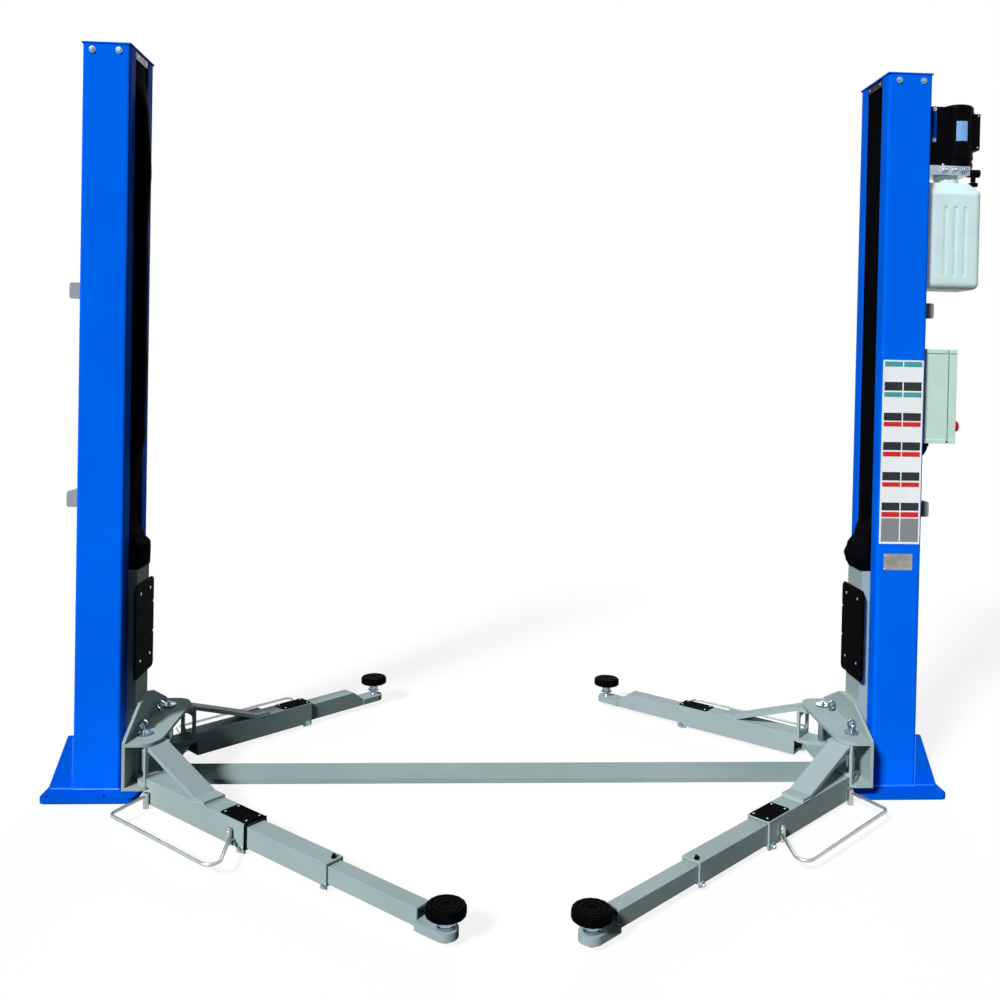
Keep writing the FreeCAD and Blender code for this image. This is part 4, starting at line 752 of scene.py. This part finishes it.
# %% Arm welds
def arch(foot, crest, half):
    """Line across an arm from foot to crest, over to the other side and back; both are s and z."""
    return [(s, n, z) for n, ends in ((-half, (foot, crest)), (half, (crest, foot))) for s, z in ends]


root_line = arch((ROOT_END, ROOT_BEAD_LOW), (ROOT_END, OUTER_TOP), OUTER_HALF)
strap_line = arch((STRAP_END - STRAP_BEAD_LENGTH, OUTER_TOP), (STRAP_END, OUTER_TOP), STRAP_BEAD_HALF)
for arm in ARMS:
    beads = [bead(root_line, ROOT_BEAD), bead(strap_line, STRAP_BEAD)]
    arm_piece(arm, "welds", beads, light_grey, smooth=60)
print("weld beads on four arms")

# %% [markdown]
# ### Step mats
# A thin rubber mat lies on the outer tube's end, where a mechanic may step or a sill may rest.
# It has rounded corners, a raised rim, low ribs across and four rivets.
# The front left arm also shows a rubber lip round the tube's end.

# %% Step mats
MAT_START, MAT_END, MAT_HALF, MAT_LOW, MAT_TOP = 523, 665, 39, 104, 108
RIB_COUNT, RIB_HALF, RIB_MARGIN = 13, 2, 10


def mat_outline(inset, radius):
    """Outline of the mat with its edge moved inwards."""
    outline = box_outline(MAT_START + inset, MAT_END - inset, inset - MAT_HALF, MAT_HALF - inset)
    return round_corners(outline, radius)


def mat_shape():
    """Mat with a rim and ribs, in arm millimetres."""
    outer, rim, inner = mat_outline(0, 10), mat_outline(1, 9), mat_outline(5, 7)
    levels = [(outer, MAT_LOW), (outer, MAT_TOP - 0.8), (rim, MAT_TOP), (inner, MAT_TOP),
              (inner, MAT_TOP - 1.4)]
    shape = bmesh.new()
    skin(shape, [[shape.verts.new((x, y, z)) for x, y in line] for line, z in levels])
    parts = [shape]
    for count in range(RIB_COUNT):
        s = MAT_START + RIB_MARGIN + count * (MAT_END - MAT_START - 2 * RIB_MARGIN) / (RIB_COUNT - 1)
        rib = (s - RIB_HALF, s + RIB_HALF, 8 - MAT_HALF, MAT_HALF - 8)
        parts.append(plate(rib, MAT_TOP - 1.6, MAT_TOP - 0.4))
    return gather(parts)


MAT_RIVETS = [(s, n, MAT_TOP - 1) for s in (MAT_START + 14, MAT_END - 14) for n in (-27, 27)]
for arm in ARMS:
    mat = arm_piece(arm, "step_mat", mat_shape(), black_rubber)
    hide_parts(f"{arm}_grip")
    arm_piece(arm, "mat_rivets", copies(rivet(4, 1.8), MAT_RIVETS), zinc)
lip_line = arch((OUTER_END + 1, OUTER_LOW + 4), (OUTER_END + 1, OUTER_TOP - 1), OUTER_HALF - 1)
arm_piece("front_left", "end_lip", sweep(lip_line, 4, 10), black_rubber)
print("step mats on four arms")

# %% [markdown]
# ### Stop bolts
# A bolt through the tabs under each tube's end stops the next tube from sliding out, and a small
# cap screw on top of the middle tube takes up its play.

# %% Stop bolts and cap screws
def cross_bolt(s, half, z, size):
    """Bolt across an arm: a head on one side, a nut on the other."""
    return [(hex_bolt(size, size * 0.6), standing((s, -half, z), (0, -1, 0))),
            (hex_bolt(size, size * 0.7), standing((s, half, z), (0, 1, 0)))]


OUTER_STOP = (OUTER_END - 20, OUTER_HALF, OUTER_LOW + 1, 15)
MIDDLE_STOP = (MIDDLE_END - 11, MIDDLE_HALF, MIDDLE_LOW, 13)
CAP_SCREW = (MIDDLE_END - 16, 10, MIDDLE_TOP)
for arm in ARMS:
    arm_piece(arm, "outer_stop", cross_bolt(*OUTER_STOP), zinc, bevel=0.4)
for arm in ("front_left", "front_right"):
    arm_piece(arm, "middle_stop", cross_bolt(*MIDDLE_STOP), zinc, "middle", bevel=0.4)
    arm_piece(arm, "cap_screw", copies(hex_bolt(11, 9, socket=True), [CAP_SCREW]), black_plastic, "middle")
print("stop bolts on the telescoping tubes")

# %% [markdown]
# ### Foot guards
# A bent bar keeps feet out from under a coming down arm. Its far end sits in a small bracket on
# the tube's side, with an upright bolt and a nut.

# %% Foot guard brackets
GUARD_SIDE = {"front_left": -1, "front_right": 1, "rear_left": 1, "rear_right": -1}
BRACKET_S, BRACKET_N, BRACKET_HALF, BRACKET_LOW, BRACKET_TOP = 600, 56, 16, 40, 46
SOCKET_RADIUS, SOCKET_LOW, SOCKET_TOP = 10, 30, 70
socket_profile = [(0, SOCKET_LOW), (SOCKET_RADIUS - 1, SOCKET_LOW), (SOCKET_RADIUS, SOCKET_LOW + 1),
                  (SOCKET_RADIUS, SOCKET_TOP - 1), (SOCKET_RADIUS - 1, SOCKET_TOP), (0, SOCKET_TOP)]
for arm, hand in GUARD_SIDE.items():
    n = hand * BRACKET_N
    near, far = sorted((hand * OUTER_HALF, n))
    tab = plate((BRACKET_S - BRACKET_HALF, BRACKET_S + BRACKET_HALF, near, far), BRACKET_LOW, BRACKET_TOP)
    parts = [(lathe(socket_profile, 20), Matrix.Translation((BRACKET_S, n, 0))),
             (hex_bolt(13, 7), standing((BRACKET_S, n, SOCKET_TOP))),
             (hex_bolt(13, 7), standing((BRACKET_S, n, SOCKET_LOW), (0, 0, -1))), tab]
    arm_piece(arm, "guard_bracket", parts, zinc_rod, slot="zinc", bevel=0.5)
print("brackets on four foot guards")

# %% [markdown]
# ### Pads and their screws
# Each arm ends in a rubber pad on a threaded screw. The pad is moulded with shallow scallops
# round its rim for grip and rings on top; the screw carries a wide collar, a waist and a nut.
# The thread's radius follows both the turn and the height, which draws a true helix.

# %% Pads and screws
PAD_RADIUS, PAD_THICK, SCALLOPS, SCALLOP_DEPTH = 60, 31, 16, 0.022
PAD_GROOVES, GROOVE_WIDE, PAD_HOLLOW = (47, 31), 6, 15
THREAD_PITCH, THREAD_RADIUS, THREAD_DEPTH, THREAD_CHAMFER = 5.0, 14.9, 1.6, 1.5
THREAD_SIDES, ROWS_PER_PITCH = 24, 6
COLLAR = ((0, 34.5), (25, 34.5), (27, 33), (27, 28), (23, 26), (21, 20), (21, 14), (24, 9), (29, 6.5),
          (30, 5), (30, 0), (0, 0))


def scalloped(angle):
    """Shallow hollows round the rim of a pad."""
    return 1 - SCALLOP_DEPTH * abs(math.sin(angle * SCALLOPS / 2)) ** 0.6


def threaded(low, high):
    """Threaded bar between two heights."""
    shape = bmesh.new()
    rows = int((high - low) / THREAD_PITCH * ROWS_PER_PITCH)
    rings = []
    for row in range(rows + 1):
        z = low + (high - low) * row / rows
        crest = THREAD_RADIUS - (THREAD_CHAMFER if row in (0, rows) else 0)
        ring_verts = []
        for step in range(THREAD_SIDES):
            phase = (z / THREAD_PITCH - step / THREAD_SIDES) % 1
            radius = crest - THREAD_DEPTH * abs(2 * phase - 1)
            ring_verts.append(shape.verts.new(on_circle(radius, TURN * step / THREAD_SIDES, z)))
        rings.append(ring_verts)
    skin(shape, rings)
    return shape


for arm, (*_, reach) in ARMS.items():
    foot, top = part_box(f"{arm}_pad_screw")[0].z / MM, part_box(f"{arm}_pad")[1].z / MM
    base = top - PAD_THICK
    profile = [(0, base), (PAD_RADIUS - 4, base), (PAD_RADIUS, base + 3), (PAD_RADIUS, top - 7),
               (PAD_RADIUS - 2, top - 3), (PAD_RADIUS - 5, top - 0.6), (PAD_RADIUS - 8, top)]
    for groove in PAD_GROOVES:
        profile += [(groove, top), (groove - 1, top - 2.5), (groove - GROOVE_WIDE + 1, top - 2.5),
                    (groove - GROOVE_WIDE, top)]
    profile += [(PAD_HOLLOW, top), (PAD_HOLLOW - 1, top - 3), (0, top - 3)]
    place = along_arm(arm) @ Matrix.Translation((reach, 0, 0))
    pad = make_piece(f"{arm}_pad_rubber", lathe(profile, 96, scalloped), black_rubber, f"{arm}_pad_set",
                     matrix=place)
    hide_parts(f"{arm}_pad")
    collar = lathe([(radius, base - drop) for radius, drop in COLLAR], 40)
    screw = make_piece(f"{arm}_screw", [collar, threaded(foot, base - 34)], zinc, f"{arm}_pad_set",
                       matrix=place)
    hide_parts(f"{arm}_pad_screw")
print("pads and screws on four arms")

# %% [markdown]
# ## Power unit
# A motor stands on an aluminium pump block over a milky oil tank. The motor wears a blank pale
# label on the curve of its shell, its foot is held by two bolts on a blue bar, and screws close
# the terminal box.

# %% Motor details
MOTOR_X, MOTOR_R, MOTOR_LOW, MOTOR_HIGH = 1793, 64, 2483, 2732
LABEL_LOW, LABEL_HIGH, LABEL_FROM, LABEL_TO, LABEL_STEPS = 2583, 2662, -116, -76, 14
BAR_X, BAR_HALF, BAR_LOW, BAR_HIGH, BAR_SHEET, FOOT_FRONT = 1680, 9, 2574, 2722, 4, 42


def curved_label(radius, low, high, start, end):
    """Thin patch on an upright cylinder, between two directions in degrees."""
    shape = bmesh.new()
    rows = []
    for step in range(LABEL_STEPS + 1):
        angle = math.radians(start + (end - start) * step / LABEL_STEPS)
        rim = ((radius, low), (radius, high), (radius - 1, high), (radius - 1, low))
        rows.append([shape.verts.new(on_circle(r, angle, z)) for r, z in rim])
    skin(shape, rows)
    return shape


on_motor = Matrix.Translation((MOTOR_X, 0, 0))
label = curved_label(MOTOR_R + 0.6, LABEL_LOW, LABEL_HIGH, LABEL_FROM, LABEL_TO)
make_piece("motor_label", label, vinyl["pale blue"], slot="motor_black", matrix=on_motor)
bar = plate((-BAR_HALF, BAR_HALF, BAR_LOW, BAR_HIGH), 0, BAR_SHEET, 8.5)
make_piece("motor_mount_bar", bar, post_blue, bevel=0.8,
           matrix=standing((BAR_X, -FOOT_FRONT, 0), (0, -1, 0)))
spots = [(BAR_X, -FOOT_FRONT - BAR_SHEET, z) for z in (BAR_LOW + 12, BAR_HIGH - 12)]
make_piece("motor_mount_bolts", copies(hex_bolt(10, 5), spots, (0, -1, 0)), zinc, bevel=0.3)
bands = [lathe([(MOTOR_R - 1, z), (MOTOR_R + 1.5, z + 1), (MOTOR_R + 1.5, z + 4), (MOTOR_R - 1, z + 5)], 64)
         for z in (MOTOR_LOW + 36, MOTOR_HIGH - 34)]
make_piece("motor_bands", bands, motor_enamel, slot="motor_black", matrix=on_motor)
print("motor label, bar and bands")

# %% [markdown]
# The terminal box has a ribbed lid. The pump block carries socket screws on top and three plugs
# in front, the lowering valve ends in a knurled knob, and a ring sits round the tank's neck.

# %% Terminal box, pump block and valve
TERMINAL_OUT, TERMINAL_HALF, TERMINAL_LOW, TERMINAL_HIGH = 1869, 46, 2552, 2698
BLOCK_SCREWS = [(x, y, MOTOR_LOW) for x, y in ((1716, -52), (1716, 52), (1815, 52))]
PLUG_X, PLUG_Z, BLOCK_HALF = (1725.2, 1763.2, 1801.2), 2464.5, 69
VALVE_END = (1847.5, -40, 2420)
NECK_X, NECK_IN, NECK_RADIUS, NECK_LOW, NECK_HIGH = MOTOR_X - 42, 46.2, 49, 2414.5, 2428
ribs = [plate((-42, 42, z, z + 3), 0, 2.4) for z in range(TERMINAL_LOW + 14, TERMINAL_HIGH - 12, 12)]
make_piece("terminal_box_ribs", ribs, black_plastic, bevel=0.4,
           matrix=standing((TERMINAL_OUT - 1, 0, 0), (1, 0, 0), (0, 1, 0)))
spots = [(TERMINAL_OUT - 8, -TERMINAL_HALF, z) for z in (TERMINAL_LOW + 10, TERMINAL_HIGH - 10)]
make_piece("terminal_box_screws", copies(rivet(3, 1.2), spots, (0, -1, 0)), zinc)
screws = copies(hex_bolt(9, 6, socket=True), BLOCK_SCREWS)
screws += copies(hex_bolt(15, 8), [(x, -BLOCK_HALF, PLUG_Z) for x in PLUG_X], (0, -1, 0))
make_piece("pump_block_screws", screws, zinc, bevel=0.4)
knob = lathe([(0, 0), (17, 0), (19, 2), (19, 12), (17, 15), (0, 16)], 48,
             lambda angle: 1 - 0.05 * (math.sin(angle * 18) > 0))
make_piece("valve_knob", knob, black_plastic, matrix=standing(VALVE_END, (0, 0, -1)))
neck_ring = lathe([(NECK_RADIUS, NECK_LOW), (NECK_RADIUS + 2, NECK_LOW + 1.5),
                   (NECK_RADIUS + 2, NECK_HIGH - 2), (NECK_RADIUS, NECK_HIGH), (NECK_IN, NECK_HIGH),
                   (NECK_IN, NECK_LOW)], 48)
make_piece("tank_neck_ring", neck_ring, tank_plastic, matrix=Matrix.Translation((NECK_X, 0, 0)))
print("terminal box, block, knob and tank ring")

# %% [markdown]
# ## Control box
# A moulded box with a deep lid, both with a raised band round the top and the bottom. A dark
# gasket shows in the seam between them, four captive screws hold the lid, and a black gland takes
# the leads down into the post. The emergency stop has a domed red cap.

# %% Control box details
BOX_OUT, LID_OUT, BOX_HALF, BOX_LOW, BOX_HIGH = 1742, 1776, 92, 1375, 1744
GASKET_OUT, GASKET_HALF, RIM_OUT = 0.6, 1.2, 2.5
STOP_Y, STOP_Z, STOP_REACH = -50, 1439, 10
GLAND_X, GLAND_Y, GLAND_RADIUS, NUT_LOW = 1664, -66, 12, 1358
GLAND_WAY = ((0, 1377), (0, 1362), (2, 1348), (9, 1334), (19, 1322), (30, 1313), (41, 1306))
COVER_X, COVER_FEET, STUB_HALF_X, STUB_HALF_Y, STUB_LONG = 1639, (1072, 1870), 11, 18, 14
seam = (-BOX_HALF - GASKET_OUT, BOX_HALF + GASKET_OUT, BOX_LOW - GASKET_OUT, BOX_HIGH + GASKET_OUT)
gasket = plate(seam, BOX_OUT - GASKET_HALF, BOX_OUT + GASKET_HALF, 8.5)
make_piece("control_box_gasket", gasket, black_plastic, matrix=standing((0, 0, 0), (1, 0, 0), (0, 1, 0)))
rims = []
for rim_low, rim_high in ((BOX_LOW - 3, BOX_LOW + 12), (BOX_HIGH - 14, BOX_HIGH + 3)):
    for rim_in, rim_out in ((POST_OUTER + 2, BOX_OUT - 5), (BOX_OUT + 5, LID_OUT - 1)):
        rims.append(plate((rim_in, rim_out, rim_low, rim_high), -BOX_HALF - RIM_OUT, BOX_HALF + RIM_OUT, 2.5))
make_piece("control_box_rims", rims, box_plastic, bevel=0.8, matrix=standing((0, 0, 0), (0, -1, 0)))
spots = [(LID_OUT, y, z) for y in (-78, 78) for z in (BOX_LOW + 16, BOX_HIGH - 16)]
screws = copies(hex_bolt(9, 4, washer=False, socket=True), spots, (1, 0, 0))
make_piece("control_box_screws", screws, black_plastic)
collar = lathe([(0, 0), (24, 0), (25, 1), (25, 3), (0, 3)], 40)
make_piece("stop_collar", collar, vinyl["white"], slot="box_plastic",
           matrix=standing((LID_OUT, STOP_Y, STOP_Z), (1, 0, 0)))
cap = lathe([(0, 0), (20, 0), (22.5, 2), (23, 6), (22, 11), (18, 15), (10, 17.5), (0, 18)], 40)
make_piece("stop_cap", cap, red_plastic,
           matrix=standing((LID_OUT + STOP_REACH, STOP_Y, STOP_Z), (1, 0, 0)))
lead = sweep([(-inwards, 0, z) for inwards, z in GLAND_WAY], lambda i: GLAND_RADIUS - 0.7 * i, 14)
nut = lathe([(0, NUT_LOW), (GLAND_RADIUS + 4, NUT_LOW), (GLAND_RADIUS + 4, BOX_LOW), (0, BOX_LOW)], 6)
make_piece("control_box_gland", [lead, nut], black_plastic, bevel=0.4,
           matrix=Matrix.Translation((GLAND_X, GLAND_Y, 0)))
stubs = []
for sign in SIDES.values():
    stub = (sign * COVER_X - STUB_HALF_X, sign * COVER_X + STUB_HALF_X, -STUB_HALF_Y, STUB_HALF_Y)
    stubs += [plate(stub, z - STUB_LONG, z, 4) for z in COVER_FEET]
make_piece("lock_cover_stubs", stubs, black_plastic, bevel=0.8)
print("control box, gland and the stubs under the lock covers")

# %% [markdown]
# ## Blank panels on the right post
# The real lift has a tall printed panel and a small metal plate here. Neither carries words or
# signs in this model: the panel keeps only plain blocks of colour in two columns, and the plate
# is bare brushed steel with four rivets.

# %% Panels
PANEL_LEFT, PANEL_RIGHT, PANEL_LOW, PANEL_HIGH = 1455, 1618, 977, 1700
COLUMN_GAP, PANEL_EDGE, VINYL_THICKNESS, BLOCK_THICKNESS = 5, 7, 0.5, 0.8
PLATE_EDGES, PLATE_RIVETS, PLATE_SHEET = (1476, 1591, 874, 938), (1483, 1584, 881, 931), 1.2
BLOCK_ROWS = {
    "teal": ("teal", [(6, 20), (126, 19)]),
    "red": ("red", [(243, 18), (360, 19), (480, 18), (597, 20)]),
    "dark": ("dark grey", [(86, 34), (207, 31), (322, 32), (440, 33), (560, 31)]),
    "grey": ("grey", [(622, 92)]),
}
on_front = standing((0, -POST_FACE_Y, 0), (0, -1, 0))
sheet = plate((PANEL_LEFT, PANEL_RIGHT, PANEL_LOW, PANEL_HIGH), 0, VINYL_THICKNESS, 4)
make_piece("panel_sheet", sheet, vinyl["white"], slot="post_blue", matrix=on_front)
column_width = (PANEL_RIGHT - PANEL_LEFT - 2 * PANEL_EDGE - COLUMN_GAP) / 2
for block_name, (tone, rows) in BLOCK_ROWS.items():
    blocks = []
    for drop, height in rows:
        for column in range(2):
            x = PANEL_LEFT + PANEL_EDGE + column * (column_width + COLUMN_GAP)
            block = (x, x + column_width, PANEL_HIGH - drop - height, PANEL_HIGH - drop)
            blocks.append(plate(block, 0.4, BLOCK_THICKNESS))
    make_piece(f"panel_blocks_{block_name}", blocks, vinyl[tone], slot="post_blue", matrix=on_front)
make_piece("metal_plate", plate(PLATE_EDGES, 0, PLATE_SHEET, 3), name_plate, slot="zinc", bevel=0.3,
           matrix=on_front)
spots = [(x, -POST_FACE_Y - PLATE_SHEET, z) for x, z in box_outline(*PLATE_RIVETS)]
make_piece("metal_plate_rivets", copies(rivet(3, 1.4), spots, (0, -1, 0)), zinc)
print("blank panel and plate")

# %% [markdown]
# ## Floor, light and background
# The floor is pale and runs out to a white background. Camera, mirror and see-through rays meet
# plain white in the world, while the rays that light the lift meet a soft grey. A sun from the
# upper left gives the same clear side light as the picture, where the inner face of the right
# post is lit and that of the left post lies in shade. A weaker, softer sun stands behind the lift.

# %% Floor
FLOOR_HALF, FLOOR_Z = 60.0, -0.0005


def seen_or_mirrored(tree):
    """Light Path value that is 1 for camera, glossy and transmission rays."""
    paths = add_node(tree, "LightPath").outputs
    first = add_node(tree, "Math", {0: paths["Is Camera Ray"], 1: paths["Is Glossy Ray"]},
                     operation="MAXIMUM")
    return add_node(tree, "Math", {0: first.outputs["Value"], 1: paths["Is Transmission Ray"]},
                    operation="MAXIMUM").outputs["Value"]


floor_shape = bmesh.new()
floor_corners = box_outline(-FLOOR_HALF, FLOOR_HALF, -FLOOR_HALF, FLOOR_HALF)
floor_shape.faces.new([floor_shape.verts.new((x, y, FLOOR_Z)) for x, y in floor_corners])
floor_mesh = bpy.data.meshes.new("floor")
floor_shape.to_mesh(floor_mesh)
floor = bpy.data.objects.new("floor", floor_mesh)
bpy.context.scene.collection.objects.link(floor)
floor_finish = bpy.data.materials.new("pale floor")
floor_finish.use_nodes = True
tree = floor_finish.node_tree
tree.nodes.clear()
plain = add_node(tree, "BsdfDiffuse", {"Color": linear("3C3C3C")})
seen = add_node(tree, "BsdfDiffuse", {"Color": linear("6A6A6A")})
glow = add_node(tree, "Emission", {"Color": (1, 1, 1, 1), "Strength": 0.86})
both = add_node(tree, "AddShader", {0: seen.outputs["BSDF"], 1: glow.outputs["Emission"]})
mixed = add_node(tree, "MixShader", {"Fac": seen_or_mirrored(tree), 1: plain.outputs["BSDF"],
                                     2: both.outputs["Shader"]})
add_node(tree, "OutputMaterial", {"Surface": mixed.outputs["Shader"]})
floor_mesh.materials.append(floor_finish)
print("floor ready")

# %% World and lamps
world = bpy.data.worlds.new("studio")
world.use_nodes = True
bpy.context.scene.world = world
tree = world.node_tree
tree.nodes.clear()
AMBIENT = 0.07
level = add_node(tree, "MapRange", {"Value": seen_or_mirrored(tree), "To Min": AMBIENT, "To Max": 1.0})
backdrop = add_node(tree, "Background", {"Color": (1, 1, 1, 1), "Strength": level.outputs["Result"]})
add_node(tree, "OutputWorld", {"Surface": backdrop.outputs["Background"]})
LAMPS = {
    "key": ((-0.47, -0.65, 0.60), 4.3, 0.16),
    "back": ((0.10, 0.95, 0.20), 1.5, 0.6),
}
for lamp_name, (towards, strength, softness) in LAMPS.items():
    sun = bpy.data.lights.new(lamp_name, "SUN")
    sun.energy = strength
    sun.angle = softness
    lamp = bpy.data.objects.new(lamp_name, sun)
    bpy.context.scene.collection.objects.link(lamp)
    lamp.matrix_world = standing((0, 0, 0), towards)
bpy.context.scene.view_settings.view_transform = "Standard"
print("key light from the upper left, soft light from behind")
